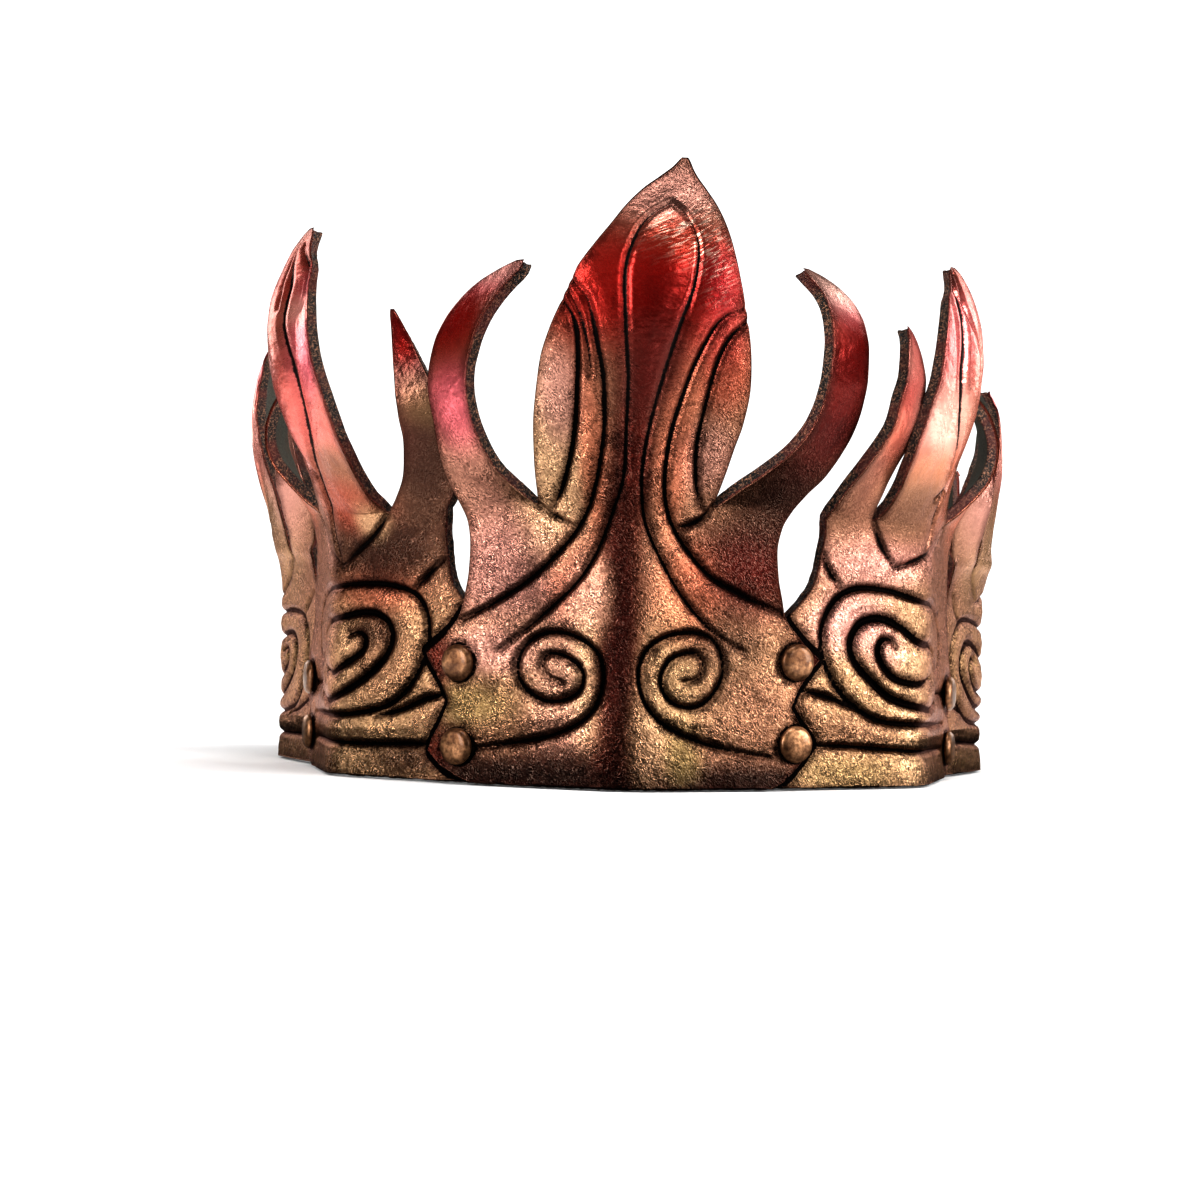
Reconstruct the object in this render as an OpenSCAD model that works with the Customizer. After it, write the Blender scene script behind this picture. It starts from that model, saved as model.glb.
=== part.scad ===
// Leather flame crown: five folded leather panels and a plain back band, riveted end over end.
// Origin: on the floor, under the middle of the crown. X to the right seen from the front, Y back, Z up.

/* [Leather] */
// Thickness of every leather piece
leather_t = 3; // [2.2:0.1:3]
// Air between two overlapped layers
layer_gap = 0.3; // [0.2:0.05:0.5]
// Length that each overlap runs past its rivets
lap = 9; // [8:0.5:10]

/* [Ring] */
// Width across the ridges of the two rear panels
ring_w = 189; // [180:1:200]
// Depth from the front ridge to the middle of the back band
ring_d = 200; // [190:1:210]
// Height of the plain back band
band_h = 34; // [26:1:38]

/* [Flames] */
// Height of the two slots in the front panel
front_notch = 67; // [62:1:72]
// Height of the front leaf
front_leaf_h = 147; // [120:1:155]
// Height of the front panel's horns
front_horn_h = 122.2; // [105:1:130]
// Height of the slots in the side panels
side_notch = 65; // [60:1:70]
// Height of the slots in the rear panels
rear_notch = 55; // [52:1:60]
// How far the flames lean out, as a share of the tables below
flare = 1; // [0.8:0.05:1.1]
// Half length over which a leaf rounds off its fold
leaf_round = 22; // [12:1:26]

/* [Rivets] */
// Diameter of the domed cap outside
cap_d = 8.8; // [8:0.1:9.2]
// Height of the domed cap
cap_h = 2.3; // [1.8:0.1:2.6]
// Diameter of the cap inside
back_cap_d = 8; // [7:0.1:8.6]
// Height of the cap inside
back_cap_h = 1.2; // [1:0.1:1.6]
// Diameter of the post
post_d = 3; // [2.6:0.1:3.2]
// Diameter of the hole in the leather
hole_d = 3.4; // [3.3:0.1:3.8]

/* [Hidden] */

$fn = 48;
step = leather_t + layer_gap;
kx = ring_w / 189;
ky = ring_d / 200;
// The ring is moved so that the middle of the whole crown's box is the origin.
x_mid = -2.65;
y_mid = -4.1;

// Corners of the ring seen from above, right half: x, y, half length of the rounding.
front_ridge = [0, -97, 9];
front_joint = [39.5, -80, 10];
side_ridge = [72, -55, 9];
side_joint = [80, -18, 10];
rear_ridge = [94.5, 25, 9];
rear_joint = [76, 62, 10];
back_corner = [46, 92, 16];
back_middle = [0, 103, 16];

// Ends and edges of a panel below its slots. Up to height 31 the first column is a height;
// above it, the share of the way to the slots. Then the near edge and the far edge.
LOW_FRONT = [
    [0, -39, 37], [1.5, -43.5, 40], [4, -48.5, 43], [7.5, -52.5, 46.5], [11, -51, 49],
    [15, -48.5, 45.5], [19.5, -46.5, 42.3], [24, -49, 44.5], [28.5, -52.3, 48.3], [31, -53.8, 50.6]
];
NECK_FRONT = [
    [0.13, -47.5, 45], [0.26, -43.8, 41], [0.39, -42.3, 39.5], [0.53, -41.4, 38.2],
    [0.71, -41, 37.7], [0.86, -41.5, 38.6], [1, -43, 41]
];
// Near ends of the side and rear panels lie straight under the panel before; far ends are pointed.
LOW_SIDE = [
    [0, -9, -4], [1.5, -9, 1.5], [4.5, -9, 6], [8, -9, 9.5], [11.5, -9, 6],
    [15.5, -9, 1.5], [19, -9, 5.5], [23, -9, 9.5], [27, -9, 5], [31, -9, 1.5]
];
NECK_SIDE = [
    [0.12, -7, -1], [0.24, -3.5, -2.5], [0.37, 1, -3.5], [0.53, 5, -4],
    [0.70, 6.5, -3.5], [0.86, 7, -2.5], [1, 6, -1]
];

// Leaf: share of the way from slot to tip, near edge, far edge, lean out, turn to the near side.
LEAF_FRONT = [
    [0, -22.8, 20.4, 1.6, 0], [0.04, -22.4, 21, 2.8, 0], [0.1, -22.2, 22.1, 4.5, 0],
    [0.165, -21.8, 23.2, 6.2, 0], [0.24, -21.1, 24.6, 8, 0], [0.325, -19.7, 25.2, 10, 0],
    [0.415, -18, 24.6, 11.7, 0], [0.5, -15.2, 23.4, 13, 0], [0.575, -12.4, 22, 13.5, 0],
    [0.65, -9.8, 20.6, 13.3, 0], [0.725, -7, 19.4, 12.3, 0], [0.79, -4.3, 18.2, 10.7, 0],
    [0.845, -1.9, 16.8, 8.7, 0], [0.895, 1.3, 15, 6.4, 0], [0.935, 5.3, 13.6, 4.3, 0],
    [0.97, 8.8, 12.9, 2.6, 0], [1, 10.8, 12.8, 1.2, 0]
];
LEAF_SIDE = [
    [0, -18.5, 19, 1.6, 0], [0.06, -17.6, 19.5, 4, -0.12], [0.12, -17.6, 20, 6.4, -0.22],
    [0.19, -18.3, 20.5, 9.3, -0.3], [0.27, -18.4, 20.6, 12, -0.35], [0.36, -17.6, 20.3, 14.4, -0.35],
    [0.45, -16.2, 19.2, 16.3, -0.35], [0.54, -14.2, 17.6, 17.4, -0.35], [0.63, -12, 15.6, 17.7, -0.33],
    [0.71, -9.8, 13.3, 17.2, -0.3], [0.78, -7.6, 11.2, 16.3, -0.26], [0.85, -5.2, 9, 14.6, -0.2],
    [0.91, -3, 7, 12.6, -0.14], [0.96, -1.2, 5.2, 10.4, -0.08], [1, 0.4, 2.6, 8.4, 0]
];
// Horn: share of the way from slot to tip, inner edge and outer edge from the ridge,
// lean out, turn that brings the inner edge forward.
HORN_FRONT_LEFT = [
    [0, 22.8, 43, 1.6, 0], [0.07, 26.3, 44.6, 3.6, 0.11], [0.145, 29.7, 45.4, 6, 0.22],
    [0.235, 31.9, 45.8, 8.4, 0.33], [0.34, 33.3, 45.9, 10.6, 0.45], [0.445, 33.8, 45.9, 12.7, 0.45],
    [0.55, 33.4, 45.2, 13.8, 0.45], [0.66, 31.8, 43.9, 14, 0.45], [0.755, 29.8, 41.8, 13.3, 0.45],
    [0.835, 27.3, 38.7, 12.2, 0.45], [0.905, 24.9, 34.9, 10.6, 0.45], [0.96, 22.8, 30, 9.4, 0.45],
    [1, 22.2, 25.2, 8.5, 0.45]
];
HORN_FRONT_RIGHT = [
    [0, 20.4, 41, 1.6, 0], [0.07, 24, 43.5, 4.2, 0.09], [0.145, 28.8, 46.5, 7.3, 0.2],
    [0.235, 33.6, 48.4, 10.8, 0.33], [0.34, 36.4, 49.9, 14, 0.45], [0.445, 37.8, 50.3, 16.2, 0.45],
    [0.55, 38.4, 50.1, 17.6, 0.45], [0.66, 38.9, 49.9, 17.8, 0.45], [0.755, 39.2, 49.6, 16.6, 0.45],
    [0.835, 39.4, 48.6, 14.6, 0.45], [0.905, 39.2, 46.4, 11.8, 0.45], [0.96, 38.4, 43.2, 9.2, 0.45],
    [1, 37.6, 40, 7, 0.45]
];
HORN_SIDE_NEAR = [
    [0, 18.5, 36.2, 1.6, 0], [0.08, 22, 38.2, 2.8, 0.09], [0.17, 25, 39, 4.2, 0.19],
    [0.27, 27, 39.2, 6.2, 0.32], [0.38, 28.1, 39.2, 8.4, 0.36], [0.48, 28.2, 39, 10.5, 0.35],
    [0.59, 27.7, 36.8, 11.4, 0.35], [0.695, 26.9, 34.2, 11.3, 0.35], [0.8, 25.6, 30.9, 10.4, 0.35],
    [0.885, 24.2, 27.8, 9.3, 0.35], [0.95, 22.8, 25, 8.2, 0.35], [1, 21.6, 22.9, 7.2, 0.35]
];
HORN_SIDE_SWEPT = [
    [0, 18.5, 33, 1.6, 0], [0.08, 19.1, 32.4, 4.2, -0.1], [0.17, 19.1, 31.6, 7.2, -0.2],
    [0.28, 18.2, 30.4, 10.6, -0.38], [0.385, 16.8, 28.8, 13.4, -0.45], [0.49, 15.7, 27.2, 15.4, -0.45],
    [0.6, 15.1, 26.5, 16.4, -0.45], [0.705, 15, 24.5, 16.2, -0.45], [0.81, 15.1, 22.5, 15, -0.45],
    [0.895, 15.5, 20.6, 13.3, -0.45], [0.96, 16.2, 18.9, 11.6, -0.45], [1, 16.9, 18, 10.2, -0.45]
];
HORN_SIDE_FAR = [
    [0, 19, 36.9, 1.6, 0], [0.12, 22, 38.6, 4.6, 0.1], [0.24, 25, 40.4, 7.6, 0.2],
    [0.39, 27.8, 41.5, 10.4, 0.35], [0.54, 29.4, 41.4, 12, 0.4], [0.67, 29.5, 40, 12.3, 0.4],
    [0.79, 28.6, 37, 11.7, 0.4], [0.88, 27.2, 33.4, 10.8, 0.4], [0.95, 25.6, 29.4, 9.8, 0.4],
    [1, 24, 25.2, 9, 0.4]
];

// Panels of one side: slots, leaf tip, near horn tip, far horn tip, share of the lean of leaf,
// near horn and far horn, near horn table.
LEFT_SIDE = [side_notch, 133.5, 112.5, 97, 1.16, 0.9, 1, HORN_SIDE_NEAR];
RIGHT_SIDE = [side_notch, 127, 110.5, 96, 0.82, 1, 0.9, HORN_SIDE_SWEPT];
LEFT_REAR = [rear_notch, 113, 92, 84, 0.66, 0.6, 0.9, HORN_SIDE_NEAR];
RIGHT_REAR = [rear_notch, 103, 88, 81, 0.36, 0.6, 0.7, HORN_SIDE_NEAR];

// Heights of the upper and the lower rivet at each joint.
RIVETS_LEFT = [[28.7, 8.9], [23, 9], [23, 9]];
RIVETS_RIGHT = [[30.4, 11], [22, 8], [22, 8]];

function mix(a, b, t) = a + (b - a) * t;
function smooth(x) = let(c = min(1, max(0, x))) c * c * (3 - 2 * c);
function col(tab, k) = [for (r = tab) [r[0], r[k]]];
function flip(c) = [-c[0], c[1], c[2]];
function scaled(c) = [c[0] * kx, c[1] * ky, c[2]];
function flat(p) = [p[0], p[1]];

// A path is its corners, the station of each corner and the directions between them.
function run(c, i) = norm(flat(c[i + 1]) - flat(c[i]));
function total(c, i) = i == 0 ? 0 : total(c, i - 1) + run(c, i - 1);
function path(list, k) =
    let(c = [for (p = list) scaled(p)])
    [
        c,
        [for (i = [0:len(c) - 1]) total(c, i) - total(c, k)],
        [for (i = [0:len(c) - 2]) (flat(c[i + 1]) - flat(c[i])) / run(c, i)]
    ];
FRONT_PATH = path([flip(side_ridge), flip(front_joint), front_ridge, front_joint, side_ridge], 2);
SIDE_PATH = path([front_ridge, front_joint, side_ridge, side_joint, rear_ridge], 2);
REAR_PATH = path([side_ridge, side_joint, rear_ridge, rear_joint, back_corner], 2);
BACK_PATH = path([
    rear_ridge, rear_joint, back_corner, back_middle,
    flip(back_corner), flip(rear_joint), flip(rear_ridge)
], 3);

// Point of the ring at station u, with its direction: [x, y, tx, ty].
function ring(p, u) =
    let(
        c = p[0], s = p[1], d = p[2], n = len(c) - 1,
        bend = [for (i = [1:n - 1]) if (abs(u - s[i]) < c[i][2]) i]
    )
    len(bend) > 0 ?
        let(
            i = bend[0], w = c[i][2], t = (u - s[i] + w) / (2 * w), o = flat(c[i]),
            a = o - w * d[i - 1], b = o + w * d[i],
            q = (1 - t) * (1 - t) * a + 2 * t * (1 - t) * o + t * t * b,
            g = (1 - t) * d[i - 1] + t * d[i], e = g / norm(g)
        ) [q[0], q[1], e[0], e[1]]
    :
        let(
            past = [for (i = [1:n - 1]) if (u > s[i]) i], i = len(past),
            q = flat(c[i]) + (u - s[i]) * d[i]
        ) [q[0], q[1], d[i][0], d[i][1]];

// Near ends are stepped in by one layer; the step fades out towards the ridge.
function tuck(p, u, on) = on ? -step * smooth((-u - 6) / (-p[1][1] - lap - 6)) : 0;
// A leaf is folded less sharply than the panel below it.
function soften(u, w) =
    let(a = max(0, w - abs(u)), b = max(0, 9 - abs(u)))
    -0.2 * (a * a / w - b * b / 9);

// Distance from the ring of the middle of the leather: region 0 below the slots, 1 near horn,
// 2 leaf, 3 far horn. m is [slots, leaf, near, far tip, leans, tables].
function share(m, r, v) = (v - m[0]) / (m[r == 2 ? 1 : r == 1 ? 2 : 3] - m[0]);
function table(m, r) = m[r == 1 ? 7 : r == 2 ? 8 : 9];
function lean(m, r) = m[r == 1 ? 5 : r == 2 ? 4 : 6] * flare;
function away(p, m, r, u, v, on) =
    tuck(p, u, on) + (r == 0 ?
        1.6 * smooth((v - 0.7 * m[0]) / (0.3 * m[0]))
    :
        let(
            t = max(0, share(m, r, v)), tab = table(m, r),
            out = 1.6 + (lookup(t, col(tab, 3)) - 1.6) * lean(m, r),
            turn = lookup(t, col(tab, 4)) * min(1, lean(m, r)),
            e0 = lookup(t, col(tab, 1)), e1 = lookup(t, col(tab, 2))
        )
        r == 2 ?
            out + turn * u + smooth(t / 0.25) * soften(u, leaf_round)
        :
            out + turn * ((e0 + e1) / 2 - abs(u))
    );

// One grid point of the leather's middle and its normal; the slots share one slope.
function face_at(p, m, r, u, v, on) =
    let(
        q = ring(p, u), d = away(p, m, r, u, v, on), e = 0.5,
        du = (away(p, m, r, u + e, v, on) - away(p, m, r, u - e, v, on)) / (2 * e),
        dv = abs(v - m[0]) < 0.01 ? 0.35 :
            (away(p, m, r, u, v + e, on) - away(p, m, r, u, v - e, on)) / (2 * e),
        t = [q[2], q[3], 0], n = [q[3], -q[2], 0],
        nn = n - du * t - (v < 1 ? 0 : dv) * [0, 0, 1]
    )
    [[q[0], q[1], v] + d * n, nn / norm(nn)];

// Columns: 4 in each horn and 8 in the leaf.
H = 4;
L = 4;
function split(lo, a, mid, b, hi) = concat(
    [for (j = [0:H]) mix(lo, a, j / H)],
    [for (j = [1:L]) mix(a, mid, j / L)],
    [for (j = [1:L]) mix(mid, b, j / L)],
    [for (j = [1:H]) mix(b, hi, j / H)]
);

// Rows [height, near edge, far edge] of a panel below its slots.
function rows(low, neck, notch) = concat(low, [for (r = neck) [mix(31, notch, r[0]), r[1], r[2]]]);
function leaf_cols(r) =
    let(mid = mix(0, (r[1] + r[2]) / 2, smooth((r[0] - 0.3) / 0.7)))
    concat(
        [for (j = [0:L]) mix(r[1], mid, j / L)],
        [for (j = [1:L]) mix(mid, r[2], j / L)]
    );

// A sheet of leather from its grids of [middle, normal] pairs: the low part, then three flames.
function at(g, k) = [for (q = g) q[0] + k * q[1]];
function quad(a, b, c, d) = [[a, b, c], [a, c, d]];
module sheet(low, near, leaf, far) {
    nl = len(low);
    W = len(low[0]);
    n1 = len(near);
    n2 = len(leaf);
    n3 = len(far);
    all = concat(
        [for (r = low) each r], [for (r = near) each r],
        [for (r = leaf) each r], [for (r = far) each r]
    );
    nv = len(all);
    b1 = nl * W;
    b2 = b1 + n1 * (H + 1);
    b3 = b2 + n2 * (2 * L + 1);
    top = (nl - 1) * W;
    function low_i(i, j) = i * W + j;
    function near_i(i, j) = i == 0 ? top + j : b1 + (i - 1) * (H + 1) + j;
    function leaf_i(i, j) = i == 0 ? top + H + j : b2 + (i - 1) * (2 * L + 1) + j;
    function far_i(i, j) = i == 0 ? top + H + 2 * L + j : b3 + (i - 1) * (H + 1) + j;
    cells = concat(
        [for (i = [0:nl - 2]) for (j = [0:W - 2])
            [low_i(i, j), low_i(i + 1, j), low_i(i + 1, j + 1), low_i(i, j + 1)]],
        n1 == 0 ? [] : [for (i = [0:n1 - 1]) for (j = [0:H - 1])
            [near_i(i, j), near_i(i + 1, j), near_i(i + 1, j + 1), near_i(i, j + 1)]],
        n2 == 0 ? [] : [for (i = [0:n2 - 1]) for (j = [0:2 * L - 1])
            [leaf_i(i, j), leaf_i(i + 1, j), leaf_i(i + 1, j + 1), leaf_i(i, j + 1)]],
        n3 == 0 ? [] : [for (i = [0:n3 - 1]) for (j = [0:H - 1])
            [far_i(i, j), far_i(i + 1, j), far_i(i + 1, j + 1), far_i(i, j + 1)]]
    );
    // The rim, clockwise seen from outside the crown, as one loop of point numbers.
    loop = concat(
        [for (i = [0:nl - 1]) low_i(i, 0)],
        n1 == 0 ? [for (j = [1:W - 2]) low_i(nl - 1, j)] : concat(
            [for (i = [1:n1]) near_i(i, 0)], [for (j = [1:H]) near_i(n1, j)],
            [for (i = [n1 - 1:-1:1]) near_i(i, H)],
            [for (i = [0:n2]) leaf_i(i, 0)], [for (j = [1:2 * L]) leaf_i(n2, j)],
            [for (i = [n2 - 1:-1:1]) leaf_i(i, 2 * L)],
            [for (i = [0:n3]) far_i(i, 0)], [for (j = [1:H]) far_i(n3, j)],
            [for (i = [n3 - 1:-1:1]) far_i(i, H)]
        ),
        [for (i = [nl - 1:-1:0]) low_i(i, W - 1)],
        [for (j = [W - 2:-1:1]) low_i(0, j)]
    );
    nr = len(loop);
    faces = concat(
        [for (c = cells) each quad(c[0], c[1], c[2], c[3])],
        [for (c = cells) each quad(c[3] + nv, c[2] + nv, c[1] + nv, c[0] + nv)],
        [for (k = [0:nr - 1]) let(a = loop[k], b = loop[(k + 1) % nr])
            each quad(a, a + nv, b + nv, b)]
    );
    polyhedron(concat(at(all, leather_t / 2), at(all, -leather_t / 2)), faces);
}

// Straight through both layers of a joint, along the ring's normal there.
module at_joint(p, u, v) {
    q = ring(p, u);
    translate([q[0], q[1], v])
        rotate([0, 0, atan2(q[3], q[2])])
            rotate([90, 0, 0])
                children();
}

module hole() {
    translate([0, 0, -step - leather_t])
        cylinder(h = step + 2 * leather_t, d = hole_d);
}

module panel(p, m, low, on) {
    a = -m[8][0][1];
    b = m[8][0][2];
    difference() {
        sheet(
            [for (r = low) let(k = smooth(r[0] / m[0]))
                [for (u = split(r[1], mix(-14, -a, k), 0, mix(14, b, k), r[2]))
                    face_at(p, m, 0, u, r[0], on)]],
            [for (i = [1:len(m[7]) - 1]) let(r = m[7][i], v = mix(m[0], m[2], r[0]))
                [for (j = [0:H]) face_at(p, m, 1, -mix(r[2], r[1], j / H), v, on)]],
            [for (i = [1:len(m[8]) - 1]) let(r = m[8][i], v = mix(m[0], m[1], r[0]))
                [for (u = leaf_cols(r)) face_at(p, m, 2, u, v, on)]],
            [for (i = [1:len(m[9]) - 1]) let(r = m[9][i], v = mix(m[0], m[3], r[0]))
                [for (j = [0:H]) face_at(p, m, 3, mix(r[1], r[2], j / H), v, on)]]
        );
        children();
    }
}

module pair(p, k, heights) {
    for (v = heights)
        at_joint(p, p[1][k], v)
            hole();
}

// Low rows of a side or rear panel: the tables give distances from its two joints, and the neck
// runs into the outer edges of the two horns.
function side_low(p, m) =
    let(
        n0 = -m[7][0][2] - p[1][1] - NECK_SIDE[6][1],
        n1 = m[9][0][2] - p[1][3] - NECK_SIDE[6][2]
    )
    [for (r = rows(LOW_SIDE, NECK_SIDE, m[0]))
        let(k = smooth((r[0] - 31) / (m[0] - 31)))
        [r[0], p[1][1] + r[1] + n0 * k, p[1][3] + r[2] + n1 * k]];

module front() {
    m = [
        front_notch, front_leaf_h, front_horn_h, front_horn_h, 1, 1, 1,
        HORN_FRONT_LEFT, LEAF_FRONT, HORN_FRONT_RIGHT
    ];
    panel(FRONT_PATH, m, rows(LOW_FRONT, NECK_FRONT, front_notch), false) {
        pair(FRONT_PATH, 1, RIVETS_LEFT[0]);
        pair(FRONT_PATH, 3, RIVETS_RIGHT[0]);
    }
}

module side(p, m, near_rivets, far_rivets) {
    full = concat(m, [LEAF_SIDE, HORN_SIDE_FAR]);
    panel(p, full, side_low(p, full), true) {
        pair(p, 1, near_rivets);
        pair(p, 3, far_rivets);
    }
}

module band() {
    s = BACK_PATH[1];
    u0 = s[1] - lap;
    u1 = s[5] + lap;
    difference() {
        sheet(
            [for (v = [0, band_h])
                [for (j = [0:40])
                    let(q = ring(BACK_PATH, mix(u0, u1, j / 40)), n = [q[3], -q[2], 0])
                    [[q[0], q[1], v] - step * n, n]]],
            [], [], []
        );
        pair(BACK_PATH, 1, RIVETS_RIGHT[2]);
        pair(BACK_PATH, 5, RIVETS_LEFT[2]);
    }
}

// Double cap rivet: domed cap outside, post through both layers, flat cap inside.
module rivet() {
    top = leather_t / 2 + 0.15;
    bottom = -step - leather_t / 2 - 0.25;
    rc = cap_d / 2;
    rb = back_cap_d / 2;
    rp = post_d / 2;
    rotate_extrude()
        polygon([
            [0, bottom - back_cap_h], [rb - 0.4, bottom - back_cap_h],
            [rb, bottom - back_cap_h + 0.4], [rb, bottom], [rp, bottom], [rp, top],
            [rc, top], [rc, top + 0.7], [rc * 0.93, top + cap_h * 0.55],
            [rc * 0.75, top + cap_h * 0.8], [rc * 0.45, top + cap_h * 0.95], [0, top + cap_h]
        ]);
}

// Every piece is drawn for the right side; the left ones are mirrored, then all are moved together.
module placed(left) {
    translate([-x_mid, -y_mid, 0])
        mirror([left ? 1 : 0, 0, 0])
            children();
}

module front_panel() {
    color([0.62, 0.42, 0.28])
        placed(false) front();
}

module left_side_panel() {
    color([0.6, 0.38, 0.26])
        placed(true) side(SIDE_PATH, LEFT_SIDE, RIVETS_LEFT[0], RIVETS_LEFT[1]);
}

module right_side_panel() {
    color([0.6, 0.38, 0.26])
        placed(false) side(SIDE_PATH, RIGHT_SIDE, RIVETS_RIGHT[0], RIVETS_RIGHT[1]);
}

module left_rear_panel() {
    color([0.66, 0.45, 0.28])
        placed(true) side(REAR_PATH, LEFT_REAR, RIVETS_LEFT[1], RIVETS_LEFT[2]);
}

module right_rear_panel() {
    color([0.66, 0.45, 0.28])
        placed(false) side(REAR_PATH, RIGHT_REAR, RIVETS_RIGHT[1], RIVETS_RIGHT[2]);
}

module back_band() {
    color([0.5, 0.35, 0.22])
        placed(false) band();
}

module set_rivet(left, p, heights, k) {
    color([0.66, 0.48, 0.3])
        placed(left)
            at_joint(p, p[1][3], heights[k])
                rivet();
}

front_panel();
left_side_panel();
right_side_panel();
left_rear_panel();
right_rear_panel();
back_band();
set_rivet(true, FRONT_PATH, RIVETS_LEFT[0], 0);  // rivet_left_front_upper
set_rivet(true, FRONT_PATH, RIVETS_LEFT[0], 1);  // rivet_left_front_lower
set_rivet(true, SIDE_PATH, RIVETS_LEFT[1], 0);  // rivet_left_side_upper
set_rivet(true, SIDE_PATH, RIVETS_LEFT[1], 1);  // rivet_left_side_lower
set_rivet(true, REAR_PATH, RIVETS_LEFT[2], 0);  // rivet_left_rear_upper
set_rivet(true, REAR_PATH, RIVETS_LEFT[2], 1);  // rivet_left_rear_lower
set_rivet(false, FRONT_PATH, RIVETS_RIGHT[0], 0);  // rivet_right_front_upper
set_rivet(false, FRONT_PATH, RIVETS_RIGHT[0], 1);  // rivet_right_front_lower
set_rivet(false, SIDE_PATH, RIVETS_RIGHT[1], 0);  // rivet_right_side_upper
set_rivet(false, SIDE_PATH, RIVETS_RIGHT[1], 1);  // rivet_right_side_lower
set_rivet(false, REAR_PATH, RIVETS_RIGHT[2], 0);  // rivet_right_rear_upper
set_rivet(false, REAR_PATH, RIVETS_RIGHT[2], 1);  // rivet_right_rear_lower
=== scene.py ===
# %% [markdown]
# A leather crown of flames: five folded panels and a plain back band, riveted end over end.
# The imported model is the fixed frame. It says where every piece sits, and this script gives each
# piece its real surface: carved lines, pebbled grain, raw edges and metallic paint rubbed on by hand.

# %% The frame
import math

import bpy
import numpy as np
from mathutils import Matrix, Vector


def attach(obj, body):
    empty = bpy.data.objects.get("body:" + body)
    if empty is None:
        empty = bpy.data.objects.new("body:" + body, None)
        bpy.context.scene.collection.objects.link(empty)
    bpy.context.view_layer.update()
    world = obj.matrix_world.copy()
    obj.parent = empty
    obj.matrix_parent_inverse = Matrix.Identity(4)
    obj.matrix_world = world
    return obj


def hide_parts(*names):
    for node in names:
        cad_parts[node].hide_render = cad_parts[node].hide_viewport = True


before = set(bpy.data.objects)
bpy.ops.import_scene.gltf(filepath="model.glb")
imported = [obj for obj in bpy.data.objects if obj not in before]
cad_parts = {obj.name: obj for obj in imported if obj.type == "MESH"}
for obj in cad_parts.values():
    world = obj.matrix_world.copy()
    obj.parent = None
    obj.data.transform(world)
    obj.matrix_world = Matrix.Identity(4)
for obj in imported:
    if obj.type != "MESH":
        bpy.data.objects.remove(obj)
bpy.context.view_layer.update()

MM = 0.001

# %% [markdown]
# The camera stands 0.8 m in front of the crown, a little above its rim, level, and turned and
# rolled by about one degree, as the rivets and the folds of the photograph say. A long lens keeps
# the flames from spreading.

# %% Camera
# Place in millimetres, turn and roll as slopes, lens and sensor in millimetres as on a real
# camera, and the distance within which nothing is drawn.
EYE = Vector((8.45, -795.8, 44.2)) * MM
TURN = 0.0175
ROLL = 0.02
LENS = 91.2
SENSOR = 36
NEAREST = 10 * MM

camera_data = bpy.data.cameras.new("camera")
camera_data.lens = LENS
camera_data.sensor_width = SENSOR
camera_data.clip_start = NEAREST
camera = bpy.data.objects.new("camera", camera_data)
bpy.context.scene.collection.objects.link(camera)
right = Vector((1, TURN, ROLL)).normalized()
back = Vector((TURN, -1, 0)).normalized()
up = back.cross(right)
turned = Matrix((right, up, back)).transposed().to_4x4()
camera.matrix_world = Matrix.Translation(EYE) @ turned
bpy.context.scene.camera = camera
print("camera at", [round(c, 3) for c in EYE])

# %% [markdown]
# Seen from above, the ring is a chain of straight stretches with rounded corners: each panel is
# folded on its ridge, and the joints turn the corner again. A circle would be simpler, but the
# light breaks on the folds. A point of the ring is found from its station, the distance along the
# ring from the panel's own ridge.

# %% The ring
# Millimetres: the step from one layer of leather to the next, the leather's thickness, how far a
# pointed end passes its joint, and the shift that brings the crown to the frame's origin.
STEP = 3.3
THICK = 3.0
LAP = 9.0
SHIFT = (2.65, 4.1)

# Corners of the ring's right half seen from above: x, y and how far the rounding reaches.
FRONT_RIDGE = (0, -97, 9)
FRONT_JOINT = (39.5, -80, 10)
SIDE_RIDGE = (72, -55, 4.5)
SIDE_JOINT = (80, -18, 10)
REAR_RIDGE = (94.5, 25, 4.5)
REAR_JOINT = (76, 62, 10)
BACK_CORNER = (46, 92, 16)
BACK_MIDDLE = (0, 103, 16)


def smooth(x):
    """Rises from 0 to 1 with level ends."""
    x = np.clip(x, 0, 1)
    return x * x * (3 - 2 * x)


def flip(corner):
    return (-corner[0], corner[1], corner[2])


class Path:
    """A stretch of the ring, with station zero at one of its corners."""

    def __init__(self, corners, zero):
        self.at = np.array([c[:2] for c in corners], float)
        self.half = [c[2] for c in corners]
        legs = np.diff(self.at, axis=0)
        lengths = np.linalg.norm(legs, axis=1)
        self.way = legs / lengths[:, None]
        self.station = np.concatenate([[0], np.cumsum(lengths)])
        self.station -= self.station[zero]

    def point(self, u):
        """Points of the ring and the directions out of it."""
        leg = np.clip(np.searchsorted(self.station, u) - 1, 0, len(self.way) - 1)
        spot = self.at[leg] + (u - self.station[leg])[..., None] * self.way[leg]
        way = self.way[leg].copy()
        for k in range(1, len(self.way)):
            t = ((u - self.station[k] + self.half[k]) / (2 * self.half[k]))[..., None]
            a = self.at[k] - self.half[k] * self.way[k - 1]
            b = self.at[k] + self.half[k] * self.way[k]
            bend = (1 - t) ** 2 * a + 2 * t * (1 - t) * self.at[k] + t**2 * b
            inside = (t > 0) & (t < 1)
            spot = np.where(inside, bend, spot)
            way = np.where(inside, (1 - t) * self.way[k - 1] + t * self.way[k], way)
        way /= np.linalg.norm(way, axis=-1, keepdims=True)
        return spot, np.stack([way[..., 1], -way[..., 0]], -1)


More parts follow.
